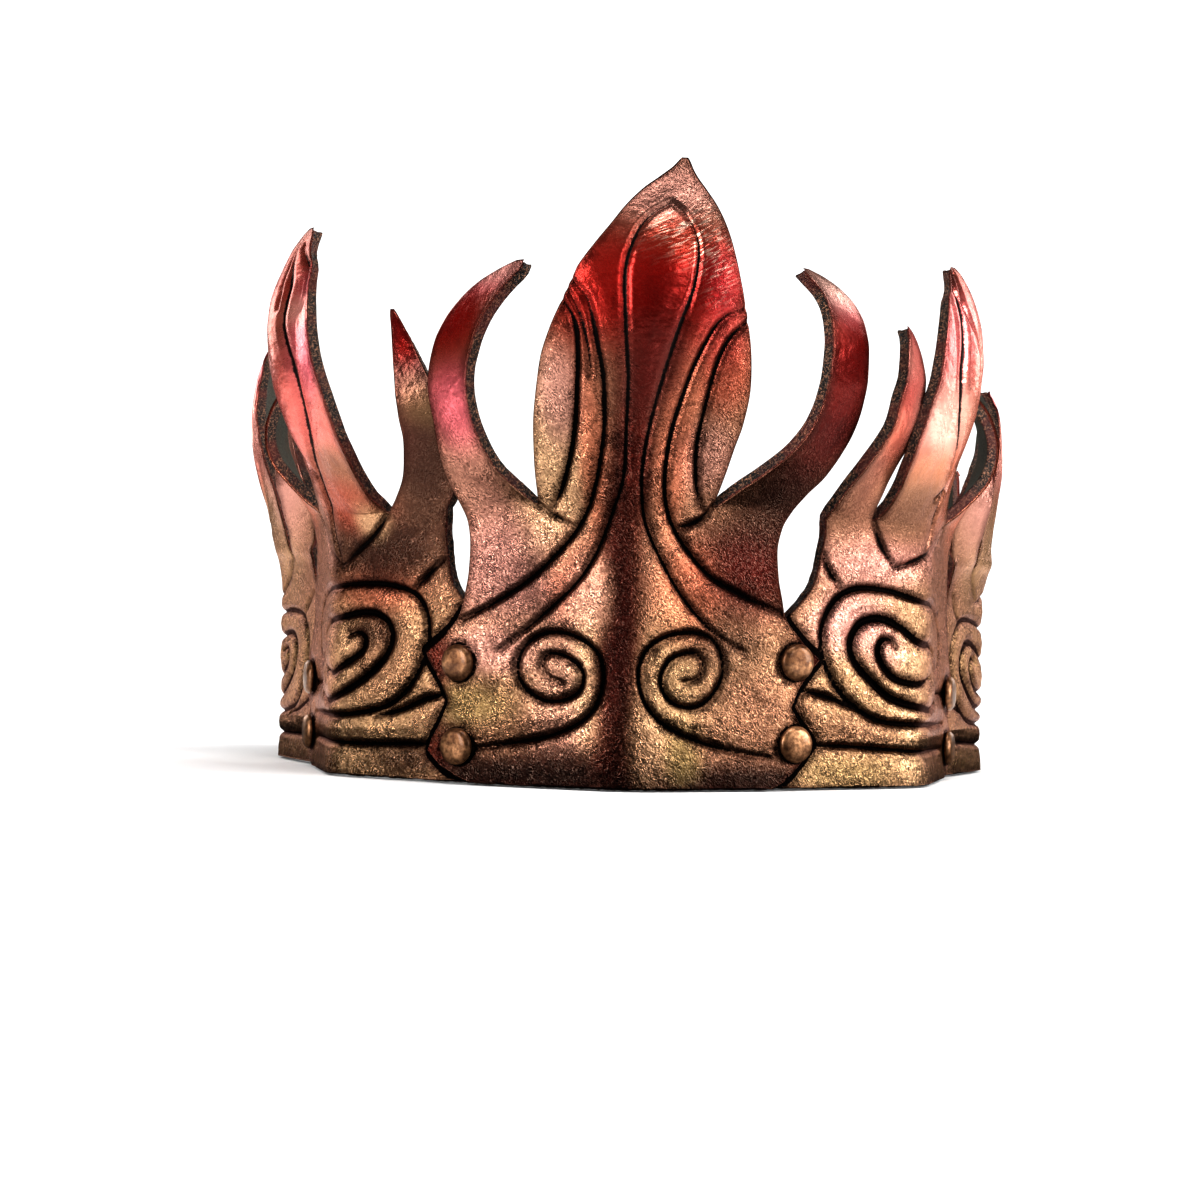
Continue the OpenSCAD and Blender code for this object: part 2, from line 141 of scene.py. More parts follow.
FRONT_PATH = Path([flip(SIDE_RIDGE), flip(FRONT_JOINT), FRONT_RIDGE, FRONT_JOINT, SIDE_RIDGE], 2)
SIDE_PATH = Path([FRONT_RIDGE, FRONT_JOINT, SIDE_RIDGE, SIDE_JOINT, REAR_RIDGE], 2)
REAR_PATH = Path([SIDE_RIDGE, SIDE_JOINT, REAR_RIDGE, REAR_JOINT, BACK_CORNER], 2)
BACK_HALF = [REAR_RIDGE, REAR_JOINT, BACK_CORNER]
BACK_PATH = Path(BACK_HALF + [BACK_MIDDLE] + [flip(corner) for corner in BACK_HALF[::-1]], 3)
print("joints of the front panel at", FRONT_PATH.station[[1, 3]].round(1), "mm from its ridge")

# %% [markdown]
# Every panel is one flat pattern: a low part with pointed ends, then a horn, a leaf and another
# horn. The tables say how far the edges lie from the ridge, how far the flame leans out and how
# much its edge is turned forward. They are those of the solids, so the leather here lies where
# the frame has it; a smooth curve through the rows takes the place of straight steps.

# %% Tables of the flames
# Height, near edge, far edge; above height 31 the first column is the share of the way to the slots.
LOW_FRONT = [
    (0, -39, 37), (1.5, -43.5, 40), (4, -48.5, 43), (7.5, -52.5, 46.5), (11, -51, 49),
    (15, -48.5, 45.5), (19.5, -46.5, 42.3), (24, -49, 44.5), (28.5, -52.3, 48.3), (31, -53.8, 50.6),
]
NECK_FRONT = [
    (0, -53.8, 50.6), (0.13, -47.5, 45), (0.26, -43.8, 41), (0.39, -42.3, 39.5), (0.53, -41.4, 38.2),
    (0.71, -41, 37.7), (0.86, -41.5, 38.6), (1, -43, 41),
]
LOW_SIDE = [
    (0, -9, -4), (1.5, -9, 1.5), (4.5, -9, 6), (8, -9, 9.5), (11.5, -9, 6),
    (15.5, -9, 1.5), (19, -9, 5.5), (23, -9, 9.5), (27, -9, 5), (31, -9, 1.5),
]
NECK_SIDE = [
    (0, -9, 1.5), (0.12, -7, -1), (0.24, -3.5, -2.5), (0.37, 1, -3.5), (0.53, 5, -4),
    (0.70, 6.5, -3.5), (0.86, 7, -2.5), (1, 6, -1),
]
# Leaf: share of the way from slot to tip, near edge, far edge, lean out, turn to the near side.
LEAF_FRONT = [
    (0, -22.8, 20.4, 1.6, 0), (0.04, -22.4, 21, 2.8, 0), (0.1, -22.2, 22.1, 4.5, 0),
    (0.165, -21.8, 23.2, 6.2, 0), (0.24, -21.1, 24.6, 8, 0), (0.325, -19.7, 25.2, 10, 0),
    (0.415, -18, 24.6, 11.7, 0), (0.5, -15.2, 23.4, 13, 0), (0.575, -12.4, 22, 13.5, 0),
    (0.65, -9.8, 20.6, 13.3, 0), (0.725, -7, 19.4, 12.3, 0), (0.79, -4.3, 18.2, 10.7, 0),
    (0.845, -1.9, 16.8, 8.7, 0), (0.895, 1.3, 15, 6.4, 0), (0.935, 5.3, 13.6, 4.3, 0),
    (0.97, 8.8, 12.9, 2.6, 0), (1, 10.8, 12.8, 1.2, 0),
]
LEAF_SIDE = [
    (0, -18.5, 19, 1.6, 0), (0.06, -17.6, 19.5, 4, -0.12), (0.12, -17.6, 20, 6.4, -0.22),
    (0.19, -18.3, 20.5, 9.3, -0.3), (0.27, -18.4, 20.6, 12, -0.35), (0.36, -17.6, 20.3, 14.4, -0.35),
    (0.45, -16.2, 19.2, 16.3, -0.35), (0.54, -14.2, 17.6, 17.4, -0.35), (0.63, -12, 15.6, 17.7, -0.33),
    (0.71, -9.8, 13.3, 17.2, -0.3), (0.78, -7.6, 11.2, 16.3, -0.26), (0.85, -5.2, 9, 14.6, -0.2),
    (0.91, -3, 7, 12.6, -0.14), (0.96, -1.2, 5.2, 10.4, -0.08), (1, 0.4, 2.6, 8.4, 0),
]
# Horn: share of the way, inner edge and outer edge from the ridge, lean out, turn of the inner edge.
HORN_FRONT_LEFT = [
    (0, 22.8, 43, 1.6, 0), (0.07, 26.3, 44.6, 3.6, 0.11), (0.145, 29.7, 45.4, 6, 0.22),
    (0.235, 31.9, 45.8, 8.4, 0.33), (0.34, 33.3, 45.9, 10.6, 0.45), (0.445, 33.8, 45.9, 12.7, 0.45),
    (0.55, 33.4, 45.2, 13.8, 0.45), (0.66, 31.8, 43.9, 14, 0.45), (0.755, 29.8, 41.8, 13.3, 0.45),
    (0.835, 27.3, 38.7, 12.2, 0.45), (0.905, 24.9, 34.9, 10.6, 0.45), (0.96, 22.8, 30, 9.4, 0.45),
    (1, 22.2, 25.2, 8.5, 0.45),
]
HORN_FRONT_RIGHT = [
    (0, 20.4, 41, 1.6, 0), (0.07, 24, 43.5, 4.2, 0.09), (0.145, 28.8, 46.5, 7.3, 0.2),
    (0.235, 33.6, 48.4, 10.8, 0.33), (0.34, 36.4, 49.9, 14, 0.45), (0.445, 37.8, 50.3, 16.2, 0.45),
    (0.55, 38.4, 50.1, 17.6, 0.45), (0.66, 38.9, 49.9, 17.8, 0.45), (0.755, 39.2, 49.6, 16.6, 0.45),
    (0.835, 39.4, 48.6, 14.6, 0.45), (0.905, 39.2, 46.4, 11.8, 0.45), (0.96, 38.4, 43.2, 9.2, 0.45),
    (1, 37.6, 40, 7, 0.45),
]
HORN_SIDE_NEAR = [
    (0, 18.5, 36.2, 1.6, 0), (0.08, 22, 38.2, 2.8, 0.09), (0.17, 25, 39, 4.2, 0.19),
    (0.27, 27, 39.2, 6.2, 0.32), (0.38, 28.1, 39.2, 8.4, 0.36), (0.48, 28.2, 39, 10.5, 0.35),
    (0.59, 27.7, 36.8, 11.4, 0.35), (0.695, 26.9, 34.2, 11.3, 0.35), (0.8, 25.6, 30.9, 10.4, 0.35),
    (0.885, 24.2, 27.8, 9.3, 0.35), (0.95, 22.8, 25, 8.2, 0.35), (1, 21.6, 22.9, 7.2, 0.35),
]
HORN_SIDE_SWEPT = [
    (0, 18.5, 33, 1.6, 0), (0.08, 19.1, 32.4, 4.2, -0.1), (0.17, 19.1, 31.6, 7.2, -0.2),
    (0.28, 18.2, 30.4, 10.6, -0.38), (0.385, 16.8, 28.8, 13.4, -0.45), (0.49, 15.7, 27.2, 15.4, -0.45),
    (0.6, 15.1, 26.5, 16.4, -0.45), (0.705, 15, 24.5, 16.2, -0.45), (0.81, 15.1, 22.5, 15, -0.45),
    (0.895, 15.5, 20.6, 13.3, -0.45), (0.96, 16.2, 18.9, 11.6, -0.45), (1, 16.9, 18, 10.2, -0.45),
]
HORN_SIDE_FAR = [
    (0, 19, 36.9, 1.6, 0), (0.12, 22, 38.6, 4.6, 0.1), (0.24, 25, 40.4, 7.6, 0.2),
    (0.39, 27.8, 41.5, 10.4, 0.35), (0.54, 29.4, 41.4, 12, 0.4), (0.67, 29.5, 40, 12.3, 0.4),
    (0.79, 28.6, 37, 11.7, 0.4), (0.88, 27.2, 33.4, 10.8, 0.4), (0.95, 25.6, 29.4, 9.8, 0.4),
    (1, 24, 25.2, 9, 0.4),
]


def curve(xs, ys, x, slope=None):
    """A smooth line through the points (xs, ys) that doesn't swing past them."""
    xs, ys = np.asarray(xs, float), np.asarray(ys, float)
    rise = np.diff(ys) / np.diff(xs)
    a, b = rise[:-1], rise[1:]
    both = np.where(a * b > 0, 2 * a * b / np.where(a + b == 0, 1, a + b), 0)
    m = np.concatenate([[rise[0] if slope is None else slope], both, [rise[-1]]])
    k = np.clip(np.searchsorted(xs, x, side="right") - 1, 0, len(rise) - 1)
    run = xs[k + 1] - xs[k]
    t = np.clip((x - xs[k]) / run, 0, 1)
    low = (2 * t**3 - 3 * t**2 + 1) * ys[k] + (t**3 - 2 * t**2 + t) * run * m[k]
    return low + (3 * t**2 - 2 * t**3) * ys[k + 1] + (t**3 - t**2) * run * m[k + 1]


HORNS = (HORN_FRONT_LEFT, HORN_FRONT_RIGHT, HORN_SIDE_NEAR, HORN_SIDE_SWEPT, HORN_SIDE_FAR)
print("rows in the tables of leaves and horns:", [len(t) for t in (LEAF_FRONT, LEAF_SIDE) + HORNS])

# %% [markdown]
# A flame could be pushed about with a lattice or by sculpting. Here a panel object knows its own
# measures and answers one question: where is the middle of the leather at station u and height v,
# in the low part or in one of the three flames? So any number can be changed later. The normal
# comes from small steps to each side and follows every fold.

# %% The leather's surface
LOW, NEAR, LEAF, FAR = range(4)
# Height where the low part's neck starts.
NECK_V = 31
# The leather bulges out by this much below the slots, from a share of their height on.
BULGE = 1.6
BULGE_START = 0.7
BULGE_POWER = 5
# A leaf is flattened beside its ridge: widths of the two roundings, their share, and the share of
# the leaf's height over which they come in.
RIDGE_ROUND = 9
LEAF_ROUND = 22
FLATTEN = 0.2
FLATTEN_RISE = 0.25
# A flame's tip is rounded over this height, and this share of its width is left at the top.
TIP_ROUND = 2.6
TIP_KEPT = 0.2
# A panel slides one layer in under its neighbour from this distance off its ridge on.
TUCK_START = 6


class Panel:
    """One piece of leather: its path, its side of the crown (-1 is left), slots' height and tables."""

    def __init__(self, name, path, side, notch, tips, leans, tables, low, neck, tucked):
        self.name, self.path, self.side, self.notch, self.tucked = name, path, side, notch, tucked
        self.tip = dict(zip((NEAR, LEAF, FAR), tips))
        self.lean = dict(zip((NEAR, LEAF, FAR), leans))
        self.table = dict(zip((NEAR, LEAF, FAR), (np.array(t).T for t in tables)))
        self.twist = {NEAR: 1, LEAF: 1, FAR: 1}
        self.low = np.array(low, float).T
        self.neck = np.array(neck, float).T
        self.lines, self.rubs, self.rivets = [], [], []
        self.pulls, self.swells, self.sleek = [], [], []

    def height(self, region, t):
        return self.notch + (self.tip[region] - self.notch) * t

    def low_edges(self, v):
        """Stations of the two ends of the low part at height v."""
        neck_v = NECK_V + (self.notch - NECK_V) * self.neck[0]
        found = []
        for k in (1, 2):
            zigzag = np.interp(v, self.low[0], self.low[k])
            found.append(np.where(v < NECK_V, zigzag, curve(neck_v, self.neck[k], v)))
        if not self.tucked:
            return found
        joints = self.path.station[[1, 3]]
        ends = (-self.table[NEAR][2][0], self.table[FAR][2][0])
        share = smooth((v - NECK_V) / (self.notch - NECK_V))
        return [
            joints[k] + found[k] + share * (ends[k] - joints[k] - self.neck[k + 1][-1])
            for k in (0, 1)
        ]

    def flame_edges(self, region, t):
        tab = self.table[region]
        a, b = curve(tab[0], tab[1], t), curve(tab[0], tab[2], t)
        top = np.clip((self.tip[region] - self.height(region, t)) / TIP_ROUND, 0, 1)
        trim = (b - a) * (1 - TIP_KEPT) / 2 * (1 - np.sqrt(1 - (1 - top) ** 2))
        return a + trim, b - trim

    def away(self, region, u, v):
        """How far the middle of the leather stands out from the ring."""
        rise = 1 - BULGE_START
        ramp = np.maximum(0, (v / self.notch - BULGE_START) / rise)
        out = BULGE * ramp**BULGE_POWER
        if region != LOW:
            tab, lean = self.table[region], self.lean[region]
            span = self.tip[region] - self.notch
            t = np.clip((v - self.notch) / span, 0, 1)
            slope = BULGE_POWER / rise * BULGE / self.notch * span
            leaning = curve(tab[0], BULGE + (tab[3] - BULGE) * lean, t, slope)
            turn = curve(tab[0], tab[4], t, 0) * min(1, lean) * self.twist[region]
            if region == LEAF:
                wide = np.maximum(0, LEAF_ROUND - abs(u)) ** 2 / LEAF_ROUND
                tight = np.maximum(0, RIDGE_ROUND - abs(u)) ** 2 / RIDGE_ROUND
                flame = leaning + turn * u - smooth(t / FLATTEN_RISE) * FLATTEN * (wide - tight)
            else:
                inner, outer = curve(tab[0], tab[1], t), curve(tab[0], tab[2], t)
                flame = leaning + turn * ((inner + outer) / 2 - abs(u))
            out = np.where(v < self.notch, out, flame)
        if self.tucked:
            reach = -self.path.station[1] + LAP - TUCK_START
            out = out - STEP * smooth((-u - TUCK_START) / reach)
        return out

    def middle(self, region, u, v):
        spot, out = self.path.point(u)
        flat = spot + out * self.away(region, u, v)[..., None]
        return np.concatenate([flat, (v + 0 * u)[..., None]], -1)

    def normal(self, region, u, v, e=0.4):
        """Direction out of the grain side, from points e millimetres to each side."""
        along = self.middle(region, u + e, v) - self.middle(region, u - e, v)
        upward = self.middle(region, u, v + e) - self.middle(region, u, v - e)
        n = np.cross(along, upward)
        return n / np.linalg.norm(n, axis=-1, keepdims=True)


print("a leaf's ridge is set back by", round(FLATTEN * (LEAF_ROUND - RIDGE_ROUND), 1), "mm")


# %% [markdown]
# Every panel but the front one is drawn for the right half of the ring, and a side of -1 mirrors
# it to the left. The flames of a crown made by hand aren't alike, so each panel has its own
# heights and its own share of the lean.

# %% The five panels
# Height of the slots between the flames.
NOTCH_FRONT, NOTCH_SIDE, NOTCH_REAR = 67, 65, 55
front = Panel(
    "front_panel", FRONT_PATH, 1, NOTCH_FRONT, (122.2, 147, 122.2), (1, 1, 1),
    (HORN_FRONT_LEFT, LEAF_FRONT, HORN_FRONT_RIGHT), LOW_FRONT, NECK_FRONT, False,
)
left_side = Panel(
    "left_side_panel", SIDE_PATH, -1, NOTCH_SIDE, (112.5, 133.5, 97), (0.9, 1.16, 1),
    (HORN_SIDE_NEAR, LEAF_SIDE, HORN_SIDE_FAR), LOW_SIDE, NECK_SIDE, True,
)
right_side = Panel(
    "right_side_panel", SIDE_PATH, 1, NOTCH_SIDE, (110.5, 127, 96), (1, 0.82, 0.9),
    (HORN_SIDE_SWEPT, LEAF_SIDE, HORN_SIDE_FAR), LOW_SIDE, NECK_SIDE, True,
)
left_rear = Panel(
    "left_rear_panel", REAR_PATH, -1, NOTCH_REAR, (92, 113, 84), (0.6, 0.66, 0.9),
    (HORN_SIDE_NEAR, LEAF_SIDE, HORN_SIDE_FAR), LOW_SIDE, NECK_SIDE, True,
)
right_rear = Panel(
    "right_rear_panel", REAR_PATH, 1, NOTCH_REAR, (88, 103, 81), (0.6, 0.36, 0.7),
    (HORN_SIDE_NEAR, LEAF_SIDE, HORN_SIDE_FAR), LOW_SIDE, NECK_SIDE, True,
)
PANELS = [front, left_side, right_side, left_rear, right_rear]
# The rear flames are bent round so that their outer face shows in front.
for rear in (left_rear, right_rear):
    rear.twist = {NEAR: 2, LEAF: -0.6, FAR: 1}
print("panels:", [p.name for p in PANELS])

# %% [markdown]
# The maker cuts the lines with a swivel knife and presses the leather down beside them. A painted
# height image could do this too, but its pixels show close up. Each line is a short list of points
# through which a smooth curve runs, in millimetres from the ridge and from the rim. Width and depth
# belong to the line, and its ends run out shallow.

# %% Lines of the front panel
# Name of the line, width, depth, points.
FRONT_LINES = [
    ("vein left", 0.8, 0.4, [
        (6.7, 135.7), (3, 132.8), (0.4, 128.5), (-1.4, 120), (-1.2, 108), (-0.7, 95), (-1, 84), (-1.4, 73),
        (-3.5, 66), (-8.3, 54.6), (-13.4, 47.6), (-19.7, 41.9), (-27, 36), (-32.5, 32)]),
    ("vein right", 0.8, 0.4, [
        (6.7, 135.7), (9.4, 132), (11.1, 126.5), (10.2, 118.5), (7.8, 109), (5.8, 98.2), (3.9, 86.7),
        (2.6, 76.8), (2.5, 70), (4.2, 61), (10.3, 49.6), (17.1, 41), (23.6, 35.7), (29.6, 32.5)]),
    ("long line left", 0.9, 0.6, [
        (-10.1, 117.5), (-7.3, 113), (-5.8, 103), (-5, 93), (-5.8, 80), (-8, 69.5), (-12.5, 61.2),
        (-17.7, 55.2), (-25, 48.8), (-33.8, 43.2), (-42.5, 39)]),
    ("long line right", 0.95, 0.65, [
        (21.5, 111.8), (17.7, 110.3), (14.3, 106.5), (10.8, 98), (8.6, 88.5), (7.3, 77), (7.8, 68.5),
        (11, 60.8), (15.3, 55.1), (20.7, 49.9), (28.8, 45.8), (39.5, 41.5)]),
    ("side line left", 1.1, 0.7, [
        (-12.5, 113.5), (-9.5, 108), (-9.2, 101), (-10.4, 90), (-12.4, 79.5), (-15.5, 71), (-19, 65.2)]),
    ("side line right", 0.9, 0.6, [
        (23, 109.3), (18.6, 105), (16, 98.5), (14.5, 88), (13.9, 79), (15.2, 71), (17.3, 66)]),
    ("fine line left", 0.6, 0.3, [(-11, 115.5), (-8.6, 110), (-7.4, 103), (-7, 96)]),
    ("crease left", 0.8, 0.5, [(-22.2, 66.6), (-18.5, 63.8), (-13.4, 61.2)]),
    ("crease right", 1.0, 0.6, [(19.9, 67), (16.8, 63.2), (10.7, 61)]),
    ("scroll left", 0.9, 0.7, [
        (-15.6, 24.6), (-19.7, 26.2), (-21.3, 29), (-19.6, 31.4), (-15.6, 31), (-12, 29), (-10.7, 26.3),
        (-11.8, 22.9), (-15.4, 20.7), (-20.5, 20.4), (-25, 22.6), (-27.5, 26.2), (-27.4, 30.3),
        (-25.2, 33.8), (-21.4, 36), (-16.3, 36.4), (-10.6, 34.6), (-6.9, 31.3), (-5.8, 27), (-6.5, 22),
        (-8.9, 17.7), (-12.7, 14.8), (-19.1, 12.2), (-27.3, 10.4), (-38, 8.6)]),
    ("scroll right", 0.9, 0.7, [
        (13.8, 25.4), (17.3, 26), (18.9, 29), (17.7, 31.7), (14.5, 32.2), (10.5, 30.6), (8.5, 27.2),
        (8.6, 24.2), (10.5, 21.2), (13.6, 19.7), (17.7, 19.7), (21.5, 22.4), (23.9, 26.8), (23.8, 31.2),
        (21.6, 35.2), (17.2, 36.9), (11.3, 36.5), (6.3, 34.3), (3.7, 30.9), (2.9, 26.4), (4.2, 21.3),
        (7.3, 17.1), (11.8, 14.1), (17.8, 11.7), (25, 9.7), (36.5, 7.6)]),
]
print("lines for the front panel:", len(FRONT_LINES))

# %% [markdown]
# On a side panel three scrolls lie one inside the other and bands run along the rim. The left and
# the right panel were cut by eye, so each has a table of its own.

# %% Lines of the side panels
SIDE_LINES_LEFT = [
    ("scroll outside", 1.15, 0.9, [
        (14.5, 30), (18, 27.6), (22.4, 29.4), (24.6, 34), (22.6, 39.8), (16.6, 43.8), (9.4, 45.6),
        (3, 46), (-4, 46.7), (-11, 47.1), (-18, 46.8), (-24.4, 45.2), (-27.9, 42), (-29.4, 37.2),
        (-29.2, 32.4), (-27.1, 26.8), (-23.5, 21.8), (-19, 18.3), (-13, 16.3), (-2.5, 14.9), (12, 14.6),
        (33, 14.4)]),
    ("scroll middle", 1.5, 1.0, [
        (10.4, 32.2), (12.2, 34.8), (7.6, 37.4), (2, 38.2), (-3, 38.9), (-8.5, 40), (-13.5, 39.9),
        (-17.3, 37.9), (-18.8, 34.3), (-17.3, 30),
        (-13.3, 25.9), (-8, 22.6), (0, 19), (8, 18), (15.4, 19.8)]),
    ("scroll inside", 1.5, 0.9, [
        (-5.6, 34.6), (-8.5, 35.2), (-10.7, 33.6), (-10.2, 31), (-7.1, 28.8), (-1, 25.8), (2, 25),
        (6.6, 25.8)]),
    ("band upper", 1.1, 0.8, [(-37, 21.5), (-29, 19.6), (-22, 16.8), (-14, 14.9)]),
    ("band lower", 0.9, 0.8, [(-35, 8.8), (-25, 8.7), (-12, 8.2), (0, 8.2), (15, 8.3), (31, 8.2)]),
    ("back line", 0.7, 0.5, [(17, 22.6), (24, 22.2), (33, 22)]),
    ("to the horn", 1.0, 0.8, [(-24.4, 45.2), (-28.7, 49.1), (-33.4, 53.2)]),
    ("leaf base near", 1.0, 0.8, [(-18.6, 64.6), (-13, 58.9), (-6, 54), (-2.6, 51.6)]),
    ("leaf base far", 0.9, 0.7, [(19, 64.6), (13, 60), (6, 56), (-2.6, 51.6)]),
    ("leaf vein", 0.8, 0.45, [
        (2.5, 129.4), (0.3, 124), (-1.6, 118.6), (-1.5, 110.6), (-2.4, 104.5), (-3.5, 99.3), (-4, 91.2),
        (-3.3, 83.1), (-1.9, 76.1), (-1.4, 68.6), (0.5, 64), (0.6, 59), (-2.6, 51.6)]),
    ("leaf line far", 0.5, 0.3, [
        (7.8, 125.3), (9.2, 121), (9.3, 116.5), (7.4, 110.2), (6, 105.5), (3.9, 100.4)]),
    ("leaf line near", 0.5, 0.3, [(2.8, 128.5), (1.6, 124), (1.1, 120.2), (0.3, 116.4), (0.3, 112.9)]),
    ("leaf fold", 0.5, 0.3, [(-0.1, 128.8), (-3.7, 123.8), (-6.3, 119.1), (-7, 114.3), (-5.9, 112)]),
    ("flap", 0.9, 0.6, [(14, 82), (8, 79), (2.9, 76.5), (-1.8, 72.4)]),
]
SIDE_LINES_RIGHT = [
    ("scroll outside", 1.3, 0.9, [
        (14, 29.4), (17.6, 27.2), (22, 29), (24.2, 33.4), (22, 39), (16, 42.8), (9, 44.6),
        (2, 45), (-3.2, 45.8), (-12, 47.8), (-21.7, 48.1), (-27.6, 45.2), (-31, 39.3), (-31.2, 33.6),
        (-29.4, 28.4), (-25.6, 23), (-20.8, 19.2), (-14.5, 16.4), (-6, 15.4), (12, 14.9), (33, 14.6)]),
    ("scroll middle", 1.8, 1.0, [
        (9.6, 30), (10.8, 32.8), (6.4, 34.6), (0, 35), (-3.4, 36.2), (-8, 39), (-14, 41), (-19.4, 40.2),
        (-22.4, 37), (-22.9, 33.4),
        (-21, 29.6), (-17.2, 26.2), (-11.8, 22.4), (-6, 20.4), (0, 19.4), (8, 18.6), (15, 20.2)]),
    ("scroll inside", 1.6, 0.9, [
        (-9.8, 34.4), (-11.6, 36), (-14, 35.6), (-15, 33.4), (-14.3, 31), (-12.2, 28.4), (-8.6, 26.2),
        (-3, 25.2), (0.6, 25.4), (5, 26.6)]),
    ("band upper", 1.1, 0.8, [(-38, 23.8), (-30, 22.1), (-24, 20.2), (-19, 18.2)]),
    ("band lower", 0.9, 0.8, [(-35, 10.4), (-25, 10.2), (-14, 9.5), (0, 8.6), (15, 8.4), (31, 8.2)]),
    ("back line", 0.7, 0.5, [(17, 22.8), (24, 22.4), (33, 22)]),
    ("to the horn", 1.1, 0.8, [(-31.6, 56.4), (-29.4, 52), (-25.6, 47.4)]),
    ("leaf base near", 1.0, 0.8, [(-18.4, 64.6), (-14.8, 58.8), (-10.3, 53.4)]),
    ("leaf base far", 0.9, 0.7, [(19, 64.6), (12, 61), (4, 57.8), (-4, 55.2), (-10.3, 53.4)]),
    ("leaf vein", 0.9, 0.5, [
        (-0.2, 125.5), (-2.4, 121.5), (-2, 118.4), (-2.2, 109.7), (-2.9, 100.2), (-1.7, 90.9), (0.2, 85.1),
        (2.3, 80.4), (2.2, 76.1), (1.3, 71.8), (0.5, 67.8), (1.4, 63), (0.4, 57)]),
    ("leaf line far", 0.5, 0.3, [(0.9, 125.2), (0, 121.4), (-0.8, 117), (0.5, 112.6), (4.3, 108.4)]),
    ("short line", 0.6, 0.3, [(6.5, 105), (8.2, 99.2)]),
    ("flap", 1.1, 0.7, [(14.5, 80), (8, 77), (2.1, 73.5), (-2.1, 70.6)]),
]
print("lines for the side panels:", len(SIDE_LINES_LEFT), "and", len(SIDE_LINES_RIGHT))

# %% [markdown]
# A cut has sloping walls, a narrow lip beside it, and a wide hollow where the leather was pressed
# down. So the height of the surface follows from one number, the distance from the line.

# %% The shape of a cut
def rounded(points, steps=8):
    """A smooth curve through the points, as many short straight pieces."""
    p = np.array(points, float)
    p = np.vstack([2 * p[0] - p[1], p, 2 * p[-1] - p[-2]])
    t = np.linspace(0, 1, steps, endpoint=False)[:, None]
    parts = []
    for a, b, c, d in zip(p, p[1:], p[2:], p[3:]):
        bend = 2 * a - 5 * b + 4 * c - d
        parts.append(0.5 * (2 * b + (c - a) * t + bend * t**2 + (3 * b - a - 3 * c + d) * t**3))
    return np.vstack(parts + [p[-2][None]])


# A line runs out over this length, or this share of a long line, to this share of its depth.
RUN_OUT = 7.0
RUN_OUT_SHARE = 0.15
END_DEPTH = 0.3
# Beside the cut: height, place and width of the lip, then depth and width of the pressed hollow.
LIP, LIP_AT, LIP_WIDTH = 0.15, 0.9, 0.5
SINK, SINK_WIDTH = 1.0, 1.9
# Width of the cut's sloping wall, and how far from a line its effect is worked out.
WALL = 0.25
REACH = 7


def from_line(spots, line):
    """Each spot's distance from the line, and 0 at the line's ends rising to 1 past the run out."""
    a, leg = line[:-1], np.diff(line, axis=0)
    length = np.linalg.norm(leg, axis=1)
    far = np.concatenate([[0], np.cumsum(length)])
    best = np.full(len(spots), np.inf)
    along = np.zeros(len(spots))
    for k in range(len(a)):
        t = np.clip((spots - a[k]) @ leg[k] / length[k] ** 2, 0, 1)
        d = np.hypot(*(spots - a[k] - t[:, None] * leg[k]).T)
        nearer = d < best
        best[nearer] = d[nearer]
        along[nearer] = (far[k] + t * length[k])[nearer]
    return best, np.minimum(along, far[-1] - along) / max(RUN_OUT, RUN_OUT_SHARE * far[-1])


def carve(panel, u, v):
    """Height of the carved surface, and the distance from the nearest cut's edge, at every spot."""
    spots = np.stack([u, v], -1)
    gap = np.full(len(u), float(REACH))
    cut = np.zeros(len(u))
    for name, width, depth, points in panel.lines:
        line = rounded(points) if depth else np.array(points)
        near = np.all((spots > line.min(0) - REACH) & (spots < line.max(0) + REACH), axis=1)
        d, along = from_line(spots[near], line)
        fade = END_DEPTH + (1 - END_DEPTH) * smooth(along) if depth else 1 + 0 * along
        half = width / 2 * fade
        q = d - half
        gap[near] = np.minimum(gap[near], q)
        cut[near] = np.maximum(cut[near], depth * fade * smooth((WALL - q) / (half + WALL)))
    land = np.maximum(gap, 0)
    pressed = SINK * (np.exp(-land / SINK_WIDTH) - np.exp(-REACH / SINK_WIDTH))
    return LIP * np.exp(-(((gap - LIP_AT) / LIP_WIDTH) ** 2)) - pressed - cut, gap


vein = rounded(FRONT_LINES[0][3])
print("the left vein runs over", round(np.linalg.norm(np.diff(vein, axis=0), axis=1).sum()), "mm")


# %% [markdown]
# The rear panels carry the side panels' pattern, scaled to their own height. A panel's pointed end
# also casts a painted shadow on the panel under it, made as a line without depth that is dark like
# the paste in the cuts.

# %% Lines on the panels
front.lines = FRONT_LINES
left_side.lines = SIDE_LINES_LEFT
right_side.lines = SIDE_LINES_RIGHT
for rear, model in ((left_rear, left_side), (right_rear, right_side)):
    flame = (rear.tip[LEAF] - NOTCH_REAR) / (model.tip[LEAF] - NOTCH_SIDE)
    rear.lines = [
        (name, width, depth, [
            (u, v * NOTCH_REAR / NOTCH_SIDE if v < NOTCH_SIDE else NOTCH_REAR + (v - NOTCH_SIDE) * flame)
            for u, v in points])
        for name, width, depth, points in model.lines
    ]
# Up to this height a painted shadow lies beside the pointed ends on the panel under them, over this width.
LAP_SHADOW_TOP = 40
LAP_SHADOW_WIDTH = 5.2
seam_v = np.linspace(0, LAP_SHADOW_TOP, LAP_SHADOW_TOP + 1)
LAPS = [(front, left_side), (front, right_side), (left_side, left_rear), (right_side, right_rear)]
for over, under in LAPS:
    lo, hi = over.low_edges(seam_v)
    past = -lo + over.path.station[1] if under is left_side else hi - over.path.station[3]
    seam = list(zip(under.path.station[1] + past, seam_v))
    under.lines = under.lines + [("seam", LAP_SHADOW_WIDTH, 0, seam)]
print("carved lines:", {p.name: len(p.lines) for p in PANELS})

